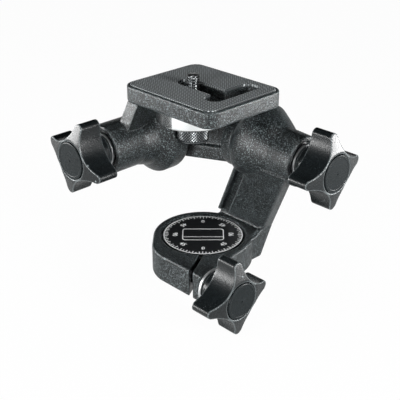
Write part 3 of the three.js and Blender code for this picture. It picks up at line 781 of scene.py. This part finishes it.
def slot_tools(width, low, high):
    """The two legs of the slot: along the plate, and across it at the far end."""
    half = width / 2
    return [
        stadium("slot_leg", (SLOT.start, SCREW_Y), (SLOT.cross_x, SCREW_Y), width, low, high),
        stadium("slot_leg", (SLOT.cross_x, SLOT.front + half), (SLOT.cross_x, SLOT.back - half),
                width, low, high),
    ]


print("slot is", SLOT.width, "mm wide above its ledge and", SLOT.ledge_width, "mm below")

# %% [markdown]
# Below the plate the finger wheel and the ring need room, also while they slide along the slot. Their sizes
# come first, since the rooms are cut with a pocket's clearance round them. The pad's recess is cut last,
# after the casting is relaxed, so that its edge stays crisp.

# %% The platform casting
BRACKET = Sizes(thickness=7.4, x=-21.8, lean=0.31, top_front=-23.4, foot_front=-28, drop=13.6, sink=3)
WHEEL = Sizes(radius=17.4, height=7.6, facets=28, chamfer=0.8, edge=0.14)
RING = Sizes(radius=7.5, height=9.4, chamfer=0.7)
GLIDE = 0.9
GAP = 0.3
WHEEL_HIGH = PLATE_LOW - GAP - GLIDE - GAP
WHEEL_LOW = WHEEL_HIGH - WHEEL.height
RING_HIGH = WHEEL_LOW - GAP
RING_LOW = RING_HIGH - RING.height
POCKET = 0.6
SLIDE_BACK, SLIDE_FORWARD = (travel / MM for travel in joints["screw_slide"]["range_m"])


def bracket_block():
    """The upright that hangs the barrel: a slanted box that leans to the left going down."""
    back = -ROLL_BARREL.start - PAST
    low, high = PLATE_LOW - BRACKET.drop - BRACKET.sink, PLATE_LOW + PAST
    half = BRACKET.thickness / 2
    fronts = {low: BRACKET.foot_front, high: BRACKET.top_front}
    corners = []
    for z, front in fronts.items():
        middle = BRACKET.x + BRACKET.lean * (z - PLATE_LOW)
        corners += [(middle - half, front, z), (middle + half, front, z),
                    (middle + half, back, z), (middle - half, back, z)]
    return block("bracket", corners)


platform = slab("platform_casting", PLATE, 0, PLATE_LOW, PLATE_HIGH, 10)
bevel_edges(platform, PLATE.round, 4, is_level)
side_shell = along_roll(barrel_shell("side_barrel", ROLL_BARREL, ROLL_FLARE_SHARES))
join(platform, side_shell, bracket_block())
wheel_path = ((SCREW_X + SLIDE_BACK, SCREW_Y), (SCREW_X + SLIDE_FORWARD, SCREW_Y))
cut(
    platform,
    stadium("wheel_room", *wheel_path, 2 * (WHEEL.radius + POCKET), WHEEL_LOW - POCKET, PLATE_LOW),
    stadium("ring_room", *wheel_path, 2 * (RING.radius + POCKET), RING_LOW - POCKET, WHEEL_LOW),
    along_roll(barrel_hollow("side_hollow", ROLL_BARREL)),
    *slot_tools(SLOT.ledge_width, PLATE_LOW - PAST, PLATE_HIGH),
    *slot_tools(SLOT.width, PLATE_LOW + SLOT.ledge, PLATE_HIGH + PAST))
cast(platform, voxel=0.36)
pad_low, pad_high = PLATE_HIGH + PAD.proud - PAD.thickness, PLATE_HIGH + PAD.proud
cut(platform, slab(
    "pad_recess", PLATE, PAD.border - PAD.gap, pad_low - PAD.gap, PLATE_HIGH + PAST, 10))
shade_rounds(platform, degrees=50)
stand_for(platform, "platform", "platform")

# %% [markdown]
# The pad lies in the plate's recess with a thin dark joint all round. It is a slab with the same outline,
# drawn in, and with the wide slot cut through it.

# %% The pad
pad = slab("pad", PLATE, PAD.border, pad_low, pad_high, 10)
bevel_edges(pad, PAD.edge, 2, is_level)
cut(pad, *slot_tools(SLOT.width, PLATE_LOW, PLATE_HIGH + 2 * PAST))
stand_for(pad, "platform", "platform_pad")
print("pad from", round(pad_low, 2), "to", round(pad_high, 2), "mm")

# %% [markdown]
# The pan arm is the largest casting. Its collar is a low drum with a blunt nose, which a slanted saw cut
# splits so that the knob can pull it tight. The nose is a prism whose left corner is bevelled round.

# %% The collar
COLLAR = Sizes(radius=24.4, low=0.6, height=13.8, edge=0.7)
COLLAR_HIGH = COLLAR.low + COLLAR.height
EARS = Sizes(front=-29.5, side=28.6, side_back=-17, neck_x=25.6, neck_y=-6, inside=0.2, turn=7, gap=2.1,
             gap_x=14.9, gap_y=-16.2, gap_length=24, gap_turn=-1.075)


def drum(name, radius, low, high, edge, segments=FINE):
    """A disc or drum whose two rims are broken by a bevel of this edge."""
    return turned(name, [
        (radius - edge, low), (radius, low + edge), (radius, high - edge), (radius - edge, high)], segments)


def collar_nose():
    """The prism in front of the drum, tangent to it on the left."""
    radius, diagonal = COLLAR.radius, math.sqrt(0.5)
    tangent = -radius * diagonal
    corner = 2 * tangent - EARS.front
    nose = prism("nose", [
        (EARS.side, EARS.front), (EARS.side, EARS.side_back), (EARS.neck_x, EARS.neck_y),
        (radius - EARS.inside, -EARS.neck_y / 2), (0, 0), (tangent, tangent), (corner, EARS.front)],
        COLLAR.low, COLLAR_HIGH)
    bevel_edges(nose, EARS.turn, 10, lambda a, b: is_upright(a, b) and abs(a.x - corner) < 0.1)
    return bevel_edges(nose, COLLAR.edge, 2, is_level)


def saw_cut():
    """The gap between the ears, a block that starts inside the drum."""
    half, length = EARS.gap / 2, EARS.gap_length
    turn = Matrix.Rotation(EARS.gap_turn, 3, "Z")
    middle = Vector((EARS.gap_x, EARS.gap_y, 0))
    plan = [(-COLLAR.radius / 4, -half), (length, -half), (length, half), (-COLLAR.radius / 4, half)]
    heights = (-PAST, COLLAR_HIGH + 5 * PAST)
    return block("saw_cut", [turn @ Vector((x, y, z)) + middle for z in heights for x, y in plan])


print("collar up to", COLLAR_HIGH, "mm")

# %% [markdown]
# The arm is a slab that leans to the right and forwards, with a thin rib along its left edge, a groove, and
# a broad raised panel. All of them share one function: a block by its sides at the foot, sheared as it
# rises. The root below it is a leaning prism that runs down through the collar's back.

# %% The arm
ARM = Sizes(depth=6.8, groove=2.6, left_lean=0.62, right_lean=0.58, forward=0.31, foot_y=20.5, rise=2.9,
            left=-10.7, right=21.1, root_right=18.6, root_front=12, root_back=22.4, rib=2.3,
            groove_width=5.1, drop=5, gusset=3, reach=6, edge=0.6)
ARM_FOOT = COLLAR_HIGH + ARM.rise
ARM_BACK = ARM.foot_y + ARM.depth


def arm_slab(name, left, right, right_lean, front, back):
    """A leaning block up to the barrel, given by its sides at the arm's foot."""
    top = AXIS_Z - ARM.drop
    corners = []
    for z in (ARM_FOOT, top):
        rise = z - ARM_FOOT
        x0, x1 = left + ARM.left_lean * rise, right + right_lean * rise
        y0, y1 = front - ARM.forward * rise, back - ARM.forward * rise
        corners += [(x0, y0, z), (x1, y0, z), (x1, y1, z), (x0, y1, z)]
    return bevel_edges(block(name, corners), ARM.edge, 3)


def root_prism(name, outline, left, right):
    """A side outline of (y, z) points, given width from left to right of the arm, leaning with it."""
    lean = (ARM.right - ARM.root_right) / (ARM_FOOT - COLLAR.low)
    solid = prism(name, outline, left, right)
    for vertex in solid.data.vertices:
        y, z, x = vertex.co / MM
        vertex.co = Vector((x + ARM.right + lean * (z - ARM_FOOT), y, z)) * MM
    return bevel_edges(faces_out(solid), ARM.edge, 3)


def arm_pieces():
    """The slab with its rib and panel, which leave the groove between them, and the root with its gusset."""
    floor_y = ARM.foot_y + ARM.groove
    rib_right = ARM.left + ARM.rib
    panel_left = rib_right + ARM.groove_width
    low, joint = COLLAR_HIGH - COLLAR.edge, ARM_FOOT + PAST
    return [
        arm_slab("slab", ARM.left, ARM.right, ARM.right_lean, floor_y, ARM_BACK),
        arm_slab("rib", ARM.left, rib_right, ARM.left_lean, ARM.foot_y, ARM_BACK),
        arm_slab("panel", panel_left, ARM.right, ARM.right_lean, ARM.foot_y, ARM_BACK),
        root_prism("root", [
            (ARM.root_front, COLLAR.low), (ARM.root_back, COLLAR.low), (ARM_BACK, ARM_FOOT),
            (ARM_BACK, joint), (floor_y, joint), (floor_y, COLLAR_HIGH),
            (ARM.root_front, COLLAR_HIGH)], ARM.left - ARM.right, 0),
        root_prism("gusset", [
            (ARM.foot_y - ARM.reach, low), (floor_y + PAST, low), (floor_y + PAST, joint),
            (ARM.foot_y + ARM.edge, joint)], -ARM.gusset, 0),
    ]


print("the arm's foot is at", round(ARM_FOOT, 1), "mm")

# %% [markdown]
# Union first, then the cuts: the room in which the elbow's disc turns, the dial's seat and the bore in one
# turned tool, the saw cut, the clamp screw's way and its nut's pocket, and the barrel's hollow.

# %% The pan arm casting
DISC = Sizes(tilt_radius=13.2, roll_radius=14.2, thickness=6.7, round=0.9, room=0.8)
FOOT = Sizes(radius=20, thickness=3, edge=0.5)
SPINDLE = Sizes(radius=16, socket=4.7625, depth=9.2, sleeve=1.6)
DIAL = Sizes(radius=20, thickness=0.9, edge=0.25, below=0.5, bevel=0.9, retainer=1)
DIAL_HIGH = COLLAR_HIGH - DIAL.below
RETAINER_LOW = DIAL_HIGH - DIAL.thickness - GAP - DIAL.retainer
NUT = Sizes(x=10.4, radius=4.7, height=10.6)
STUD = Sizes(reach=22.4, hole=3.3, head=5.6)


def collar_tools():
    """The bore with the dial's seat, the saw cut, the stud's way and the nut's pocket."""
    seat, foot_room = DIAL.radius + GAP, FOOT.thickness + GAP
    inner = SPINDLE.radius + GAP + SPINDLE.sleeve + GAP
    bore = turned("bore", [
        (FOOT.radius + GAP, -PAST), (FOOT.radius + GAP, foot_room), (inner, foot_room),
        (inner, RETAINER_LOW - GAP), (seat, RETAINER_LOW - GAP), (seat, COLLAR_HIGH - DIAL.bevel),
        (seat + DIAL.bevel + PAST, COLLAR_HIGH + PAST)], FINEST)
    stud_way = rod("stud_way", STUD.hole, EARS.side - STUD.reach - PAST, EARS.side + PAST)
    nut_way = rod("nut_way", NUT.radius + GAP, -PAST, NUT.height + 4 * GAP)
    return [bore, saw_cut(), put(stud_way, (0, CLAMP_Y, CLAMP_Z), TOWARDS_X),
            put(nut_way, (NUT.x, CLAMP_Y, 0))]


collar = drum("pan_arm_casting", COLLAR.radius, COLLAR.low, COLLAR_HIGH, COLLAR.edge, FINEST)
pan_arm = join(collar, collar_nose(), *arm_pieces())
cut(pan_arm, along_tilt(rod(
    "disc_room", DISC.tilt_radius + DISC.room, ROLL_X, TILT_BARREL.start)))
join(pan_arm, along_tilt(barrel_shell("tilt_barrel", TILT_BARREL, TILT_FLARE_SHARES)))
cut(pan_arm, *collar_tools(), along_tilt(barrel_hollow("tilt_hollow", TILT_BARREL)))
cast(pan_arm, voxel=0.4)
stand_for(pan_arm, "arm", "pan_arm")

# %% [markdown]
# The elbow is two round discs at a right angle with a diagonal web between them. The web has a ledge along
# its front: the lower half comes further forward than the upper half. It could be sculpted in one go, but
# flat faces stay flat when each form is its own solid, and the casting finish rounds them all alike.

# %% The elbow casting
WEB = Sizes(below=11.4, ledge=4, above=8, set_back=4, behind=9.2, outside=11.2, nose=1.4, front_end=5.2,
            cut=16)
TILT_DISC = (TILT_BARREL.start - GAP - DISC.thickness, TILT_BARREL.start - GAP)
ROLL_DISC = (ROLL_BARREL.start - GAP - DISC.thickness, ROLL_BARREL.start - GAP)
JOURNAL = BARREL.bore - GAP - BARREL.sleeve - GAP


def web_plan(back):
    """The web's outline from above, with its front edge moved back."""
    far_x, far_y = ROLL_X - WEB.outside, TILT_Y + WEB.behind
    face_y, end_x = -ROLL_DISC[1], TILT_DISC[0] + PAST
    return [
        (far_x, face_y + DISC.thickness / 2),
        (ROLL_X + DISC.roll_radius - WEB.nose - back, face_y + WEB.nose),
        (end_x, TILT_Y - WEB.front_end + back / 2),
        (end_x, far_y),
        (far_x + WEB.cut, far_y),
        (far_x, far_y - WEB.cut),
    ]


def web_part(name, back, low, high):
    """One half of the web, with low and high counted from the two axes."""
    part = prism(name, web_plan(back), AXIS_Z + low, AXIS_Z + high)
    return bevel_edges(part, DISC.round, 3)


def socket_tool(ends):
    """What makes room for a journal in a disc."""
    return rod("socket", JOURNAL + GAP, ends[0], ends[1] + PAST)


elbow = along_tilt(drum("elbow_casting", DISC.tilt_radius, *TILT_DISC, DISC.round))
join(elbow, along_roll(drum("roll_disc", DISC.roll_radius, *ROLL_DISC, DISC.round)),
     web_part("lower_web", 0, -WEB.below, -WEB.ledge),
     web_part("upper_web", WEB.set_back, -WEB.ledge - PAST, WEB.above))
cut(elbow, along_tilt(socket_tool(TILT_DISC)), along_roll(socket_tool(ROLL_DISC)))
cast(elbow, voxel=0.4)
stand_for(elbow, "elbow", "elbow")

# %% [markdown]
# A lock knob has four lobes with round tips, joined by scallops that run into the tips without a corner.
# Its outline is made of two kinds of arcs that touch without a kink, which a bevel on a four-pointed star
# wouldn't give. A turned form then slopes the front down towards the tips. Behind sits a hub with the hole
# for the stud, and in front a recess for the cap.

# %% The knob's outline
KNOB = Sizes(reach=18.7, tip=2.35, scallop=16.7, height=19.5, hub=8, hub_height=4, front_drop=2.6,
             back_rise=0.6, head_room=3)
CAP = Sizes(radius=8.7, thickness=1.6, rim=0.35, edge=0.4, edge_middle=0.12, border=1.2, step=0.2,
            dish=0.08, crown=0.02, mark=0.5, mark_depth=0.25)
WASHER = Sizes(radius=8.7, thickness=1.5, edge=0.25)
TIP_STEPS, SCALLOP_STEPS = 16, 24
KNOB_SEAT = GAP + WASHER.thickness + GAP
CAP_SEAT = KNOB.height - CAP.thickness - GAP


def polar(radius, angle, x=0, y=0):
    """The point at this radius and angle from (x, y)."""
    return (x + radius * math.cos(angle), y + radius * math.sin(angle))


def arc(x, y, radius, start, end, steps):
    """Points along an arc, without its last one."""
    return [polar(radius, start + (end - start) * step / steps, x, y) for step in range(steps)]


def knob_outline():
    """Four tips and four scallops; spread is the angle at which a tip's arc meets its scallop's."""
    centre, touch = KNOB.reach - KNOB.tip, KNOB.scallop + KNOB.tip
    side = (math.sqrt(2) * centre + math.sqrt(4 * touch ** 2 - 2 * centre ** 2)) / 2 / math.sqrt(2)
    spread = math.atan2(side, side - centre)
    points = []
    for lobe in range(4):
        turn = lobe * QUARTER
        points += arc(*polar(centre, turn), KNOB.tip, turn - spread, turn + spread, TIP_STEPS)
        points += arc(*polar(side * math.sqrt(2), turn + QUARTER / 2), KNOB.scallop,
                      turn + spread + 2 * QUARTER, turn + 3 * QUARTER - spread, SCALLOP_STEPS)
    return points


print("knob outline:", len(knob_outline()), "points")

# %% [markdown]
# One knob, one cap and one washer are made standing on their seat, along Z. The knob is the outline's prism
# inside a turned room, joined to its hub and hollowed for the stud, its head and the cap.

# %% The knob, its cap and its washer
def knob_form():
    back = KNOB_SEAT + KNOB.hub_height
    front = KNOB.height - CAP.rim
    form = prism("knob_form", knob_outline(), back, KNOB.height)
    room = turned("knob_room", [
        (KNOB.hub, back), (KNOB.reach + PAST, back + KNOB.back_rise),
        (KNOB.reach + PAST, front - KNOB.front_drop), (CAP.radius + GAP + PAST, front)])
    combine(form, [room], "INTERSECT")
    join(form, rod("hub", KNOB.hub, KNOB_SEAT, back + PAST))
    head, cap, head_seat = STUD.head + GAP, CAP.radius + GAP, CAP_SEAT - KNOB.head_room
    hollow = turned("hollow", [
        (STUD.hole, KNOB_SEAT - PAST), (STUD.hole, head_seat), (head, head_seat),
        (head, CAP_SEAT), (cap, CAP_SEAT), (cap, KNOB.height + PAST)])
    return cast(cut(form, hollow), voxel=0.3)


def cap_form():
    """The disc in the knob's front, with a bevelled rim and the small mark of its mould in the middle."""
    low, high, radius, mark, step = CAP_SEAT + GAP, KNOB.height, CAP.radius, CAP.mark, CAP.step
    dish = radius - CAP.border
    return shade_rounds(turned("cap_form", [
        (radius, low), (radius, high - CAP.edge),
        (radius - CAP.edge_middle, high - CAP.edge_middle),
        (radius - CAP.edge, high), (dish, high), (dish - step, high - CAP.dish),
        (mark + step, high - CAP.crown), (mark, high - CAP.crown),
        (mark - step, high - CAP.mark_depth)]), degrees=20)


def washer_form():
    low, high = GAP, GAP + WASHER.thickness
    form = drum("washer_form", WASHER.radius, low, high, WASHER.edge)
    return shade_rounds(cut(form, rod("washer_hole", STUD.hole, low - PAST, high + PAST, COARSE)))


forms = {"knob": knob_form(), "knob_cap": cap_form(), "thrust_washer": washer_form()}

# %% [markdown]
# The three knobs are copies, each turned a little differently, as they happened to stop. Each one stands on
# its own seat: the pan knob on the ear at the clamp's screw, the others on the ends of their barrels. The
# grip and its cap ride on the knob's body, and the washer behind them on its own.

# %% The three knobs
tilt_seat = TILT_BARREL.start + TILT_BARREL.length - BARREL.rim_depth
roll_seat = ROLL_BARREL.start + ROLL_BARREL.length - BARREL.rim_depth
KNOBS = {
    "pan": ((EARS.side, CLAMP_Y, CLAMP_Z), TOWARDS_X, 0.02),
    "tilt": ((tilt_seat, TILT_Y, AXIS_Z), TOWARDS_X, 0.07),
    "roll": ((ROLL_X, -roll_seat, AXIS_Z), TOWARDS_FRONT, -0.28),
}
for name, (place, tip, turn) in KNOBS.items():
    for part, form in forms.items():
        only(form)
        bpy.ops.object.duplicate()
        copy = put(bpy.context.object, (0, 0, 0), (0, 0, turn))
        copy.name = name + "_" + part + "_fine"
        body = name + ("_washer" if part == "thrust_washer" else "_knob")
        stand_for(put(copy, place, tip), body, name + "_" + part)
for form in forms.values():
    bpy.data.objects.remove(form)
print("knobs:", list(KNOBS))

# %% [markdown]
# The camera screw has a real thread, and the ring under the finger wheel a real diamond knurl. The Screw
# modifier could wind a thread, but its ends would need closing. So both start as a rod of thin slices, and
# each vertex then moves inwards by a relief that depends on its angle and height.

# %% Worked rods
def ridge(phase):
    """A triangle wave: 0 at whole phases, 1 halfway between them."""
    return 1 - abs(2 * (phase % 1) - 1)


def worked_rod(name, radius, low, high, step, segments, relief):
    """A rod of slices, with relief(angle, height above low) taken off its radius."""
    count = round((high - low) / step)
    rings = [(radius, low + (high - low) * index / count) for index in range(count + 1)]
    piece = turned(name, rings, segments)
    for vertex in piece.data.vertices:
        angle = math.atan2(vertex.co.y, vertex.co.x)
        kept = 1 - relief(angle, vertex.co.z / MM - low) / radius
        vertex.co.x, vertex.co.y = vertex.co.x * kept, vertex.co.y * kept
    return piece


print("a relief is deepest where its ridge is", ridge(0.5))

# %% [markdown]
# The screw that holds the camera sticks up through the plate. Its thread fades into a chamfer at the tip,
# so that it finds the camera's hole. The shank below is plain and a little thinner.

# %% The camera screw
SCREW_FINE = 72
THREAD = Sizes(radius=3.175, pitch=1.27, depth=0.6, fill=1.5, chamfer=0.75, above=4.6, slices=12,
               shank_less=0.05, shank_start=1, overlap=0.5)
SCREW_TOP = PLATE_HIGH + PAD.proud + THREAD.above


def thread_relief(angle, height):
    """A right-handed thread that fades into a chamfer at the screw's tip."""
    from_tip = SCREW_TOP - PLATE_LOW - height
    groove = min(1, THREAD.fill * ridge(height / THREAD.pitch - angle / (4 * QUARTER)))
    return max(THREAD.depth * groove, THREAD.chamfer - from_tip, 0)


def bored(piece, low, high):
    """Cuts the hole that the screw's shank runs through."""
    return cut(piece, rod("screw_hole", THREAD.radius + GAP, low - PAST, high + PAST, COARSE))


def on_screw(piece, body, name, degrees):
    """Shades the piece, moves it onto the screw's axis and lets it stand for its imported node."""
    shade_rounds(put(piece, (SCREW_X, SCREW_Y, 0)), degrees)
    return stand_for(piece, body, name)


thread = worked_rod("camera_screw_fine", THREAD.radius, PLATE_LOW, SCREW_TOP,
                    THREAD.pitch / THREAD.slices, SCREW_FINE, thread_relief)
shank = rod("shank", THREAD.radius - THREAD.shank_less, RING_LOW + THREAD.shank_start,
            PLATE_LOW + THREAD.overlap, SCREW_FINE)
on_screw(join(thread, shank), "screw", "camera_screw", degrees=50)
thread.data.materials[0] = screw_steel
print("screw up to", round(SCREW_TOP, 1), "mm")

# %% [markdown]
# The ring under the finger wheel is held by a real diamond knurl: two sets of grooves that climb round the
# ring in opposite directions. Plain bands stay at both ends, where the knurling tool doesn't reach.

# %% The lock ring
KNURL = Sizes(count=34, depth=0.34, band=1.1, slice=0.12, points=8)


def knurl_relief(angle, height):
    """Two crossing sets of grooves, between plain bands at both ends, each with its chamfer."""
    end = min(height, RING.height - height)
    if end < KNURL.band:
        return max(KNURL.depth, RING.chamfer - end)
    round_trip = angle / (4 * QUARTER) * KNURL.count
    climb = height * KNURL.count / (4 * QUARTER * RING.radius)
    return KNURL.depth * max(ridge(round_trip + climb), ridge(round_trip - climb))


ring = worked_rod("lock_ring_fine", RING.radius, RING_LOW, RING_HIGH, KNURL.slice,
                  KNURL.count * KNURL.points, knurl_relief)
on_screw(bored(ring, RING_LOW, RING_HIGH), "ring", "lock_ring", degrees=25)
print("ring faces:", len(ring.data.polygons))

# %% [markdown]
# The finger wheel is a drum with twenty-eight flat facets, polished so that each facet mirrors something
# else. A smooth drum with a bump would mirror in one soft band, so the facets are real, and the edges
# between them are broken with a narrow bevel.

# %% The finger wheel
wheel = drum("screw_wheel_fine", WHEEL.radius, WHEEL_LOW, WHEEL_HIGH, WHEEL.chamfer, WHEEL.facets)
bevel_edges(wheel, WHEEL.edge, 2)
on_screw(bored(wheel, WHEEL_LOW, WHEEL_HIGH), "screw", "screw_wheel", degrees=8)
print("wheel from", round(WHEEL_LOW, 1), "to", round(WHEEL_HIGH, 1), "mm")

# %% [markdown]
# The base turns out of solid metal: a foot with broken edges, and a spindle. The tripod's screw goes into a
# threaded hole from below. The hole is a worked rod again, cut out of the base.

# %% The base
SOCKET = Sizes(pitch=1.5875, depth=0.5, slices=8)


def socket_relief(angle, height):
    return SOCKET.depth * ridge(height / SOCKET.pitch - angle / (4 * QUARTER))


base = turned("base_fine", [
    (FOOT.radius - FOOT.edge, 0), (FOOT.radius, FOOT.edge),
    (FOOT.radius, FOOT.thickness - FOOT.edge), (FOOT.radius - FOOT.edge, FOOT.thickness),
    (SPINDLE.radius, FOOT.thickness), (SPINDLE.radius, RETAINER_LOW - GAP)])
socket = worked_rod("socket", SPINDLE.socket + SOCKET.depth, -SOCKET.pitch, SPINDLE.depth,
                    SOCKET.pitch / SOCKET.slices, COARSE, socket_relief)
cut(base, socket)
stand_for(shade_rounds(base, degrees=40), "base", "base_spindle")
print("base faces:", len(base.data.polygons))

# %% [markdown]
# The dial is a thin disc in the collar's top, with broken edges. It is turned, like the base below it.

# %% The dial
dial_disc = drum("dial_fine", DIAL.radius, DIAL_HIGH - DIAL.thickness, DIAL_HIGH, DIAL.edge, FINEST)
stand_for(shade_rounds(dial_disc), "base", "dial_plate")
print("dial up to", round(DIAL_HIGH, 1), "mm")

# %% [markdown]
# Its face is printed: a ring, a tick every five degrees, plain numbers, and an empty frame in the middle,
# which faces the head's front corner, like the camera. The print could be an image, but thin solids need no
# file and stay sharp up close. They are as thin as ink, and these helpers make them.

# %% Parts of the print
DIAL_TURN = math.radians(VIEW_AZIMUTH)
INK = 0.03
PRINT_RING = Sizes(radius=19.2, half_line=0.25)
TICK = Sizes(count=72, width=0.42, long=2.3, middle=1.9, short=1.3)
NUMBER = Sizes(radius=13.9, size=3.4, bolder=0.06)
NUMBERS = ("90", "45", "0", "45", "90", "45", "0", "45")
LABEL = Sizes(length=20.4, width=11.6, shift=0, corner=1.6, line=0.45, divider=-2.5, divider_line=0.36)


def print_bar(length, width, place, turn):
    """A thin bar of ink with its middle at place, in mm, turned about Z."""
    bpy.ops.mesh.primitive_cube_add(size=1)
    bar = bpy.context.object
    bar.scale = (length * MM, width * MM, INK * MM)
    return put(bar, (*place, DIAL_HIGH + INK / 2), (0, 0, turn))


def print_ring(outer, inner):
    ring = rod("print_ring", outer, DIAL_HIGH, DIAL_HIGH + INK, FINEST)
    return cut(ring, rod("print_hole", inner, DIAL_HIGH - PAST, DIAL_HIGH + PAST, FINEST))


def print_ticks():
    """A tick every five degrees: long every ninth, and middle and short in turn between them."""
    ticks = []
    for step in range(TICK.count):
        turn = step * 4 * QUARTER / TICK.count
        length = TICK.long if step % 9 == 0 else TICK.middle if step % 2 == 0 else TICK.short
        radius = PRINT_RING.radius - length / 2
        ticks.append(print_bar(length, TICK.width, polar(radius, turn), turn))
    return ticks


def print_number(text, turn):
    """A number that is read from outside the dial, with its foot towards the rim."""
    bpy.ops.object.text_add()
    number = bpy.context.object
    number.data.body = text
    number.data.size = NUMBER.size * MM
    number.data.align_x, number.data.align_y = "CENTER", "CENTER"
    number.data.extrude = INK / 2 * MM
    number.data.offset = NUMBER.bolder * MM
    only(number)
    bpy.ops.object.convert(target="MESH")
    return put(bpy.context.object, (*polar(NUMBER.radius, turn), DIAL_HIGH), (0, 0, turn + QUARTER))


def print_label():
    """The empty frame, with the line that divides it."""
    border = slab("label", LABEL, 0, DIAL_HIGH, DIAL_HIGH + INK, 6)
    cut(border, slab("label_room", LABEL, LABEL.line, DIAL_HIGH - PAST, DIAL_HIGH + PAST, 6))
    line = print_bar(LABEL.length - LABEL.line, LABEL.divider_line, (0, LABEL.divider), 0)
    return [put(part, (0, 0, 0), (0, 0, DIAL_TURN)) for part in (border, line)]


print("ticks every", 360 / TICK.count, "degrees")

# %% [markdown]
# All parts of the print become one mesh with one finish, the white ink, and ride on the base with the dial.
# They are joined without a Boolean, since ink may lie over ink.

# %% The print on the dial
radius, half_line = PRINT_RING.radius, PRINT_RING.half_line
prints = [print_ring(radius + half_line, radius - half_line), *print_ticks(), *print_label()]
prints += [print_number(text, DIAL_TURN + step * QUARTER / 2) for step, text in enumerate(NUMBERS)]
only(*prints)
bpy.ops.object.join()
dial_print = bpy.context.object
dial_print.name = "dial_print"
dial_print.data.materials.clear()
dial_print.data.materials.append(dial_ink)
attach(dial_print, "base")
print("dial print faces:", len(dial_print.data.polygons))
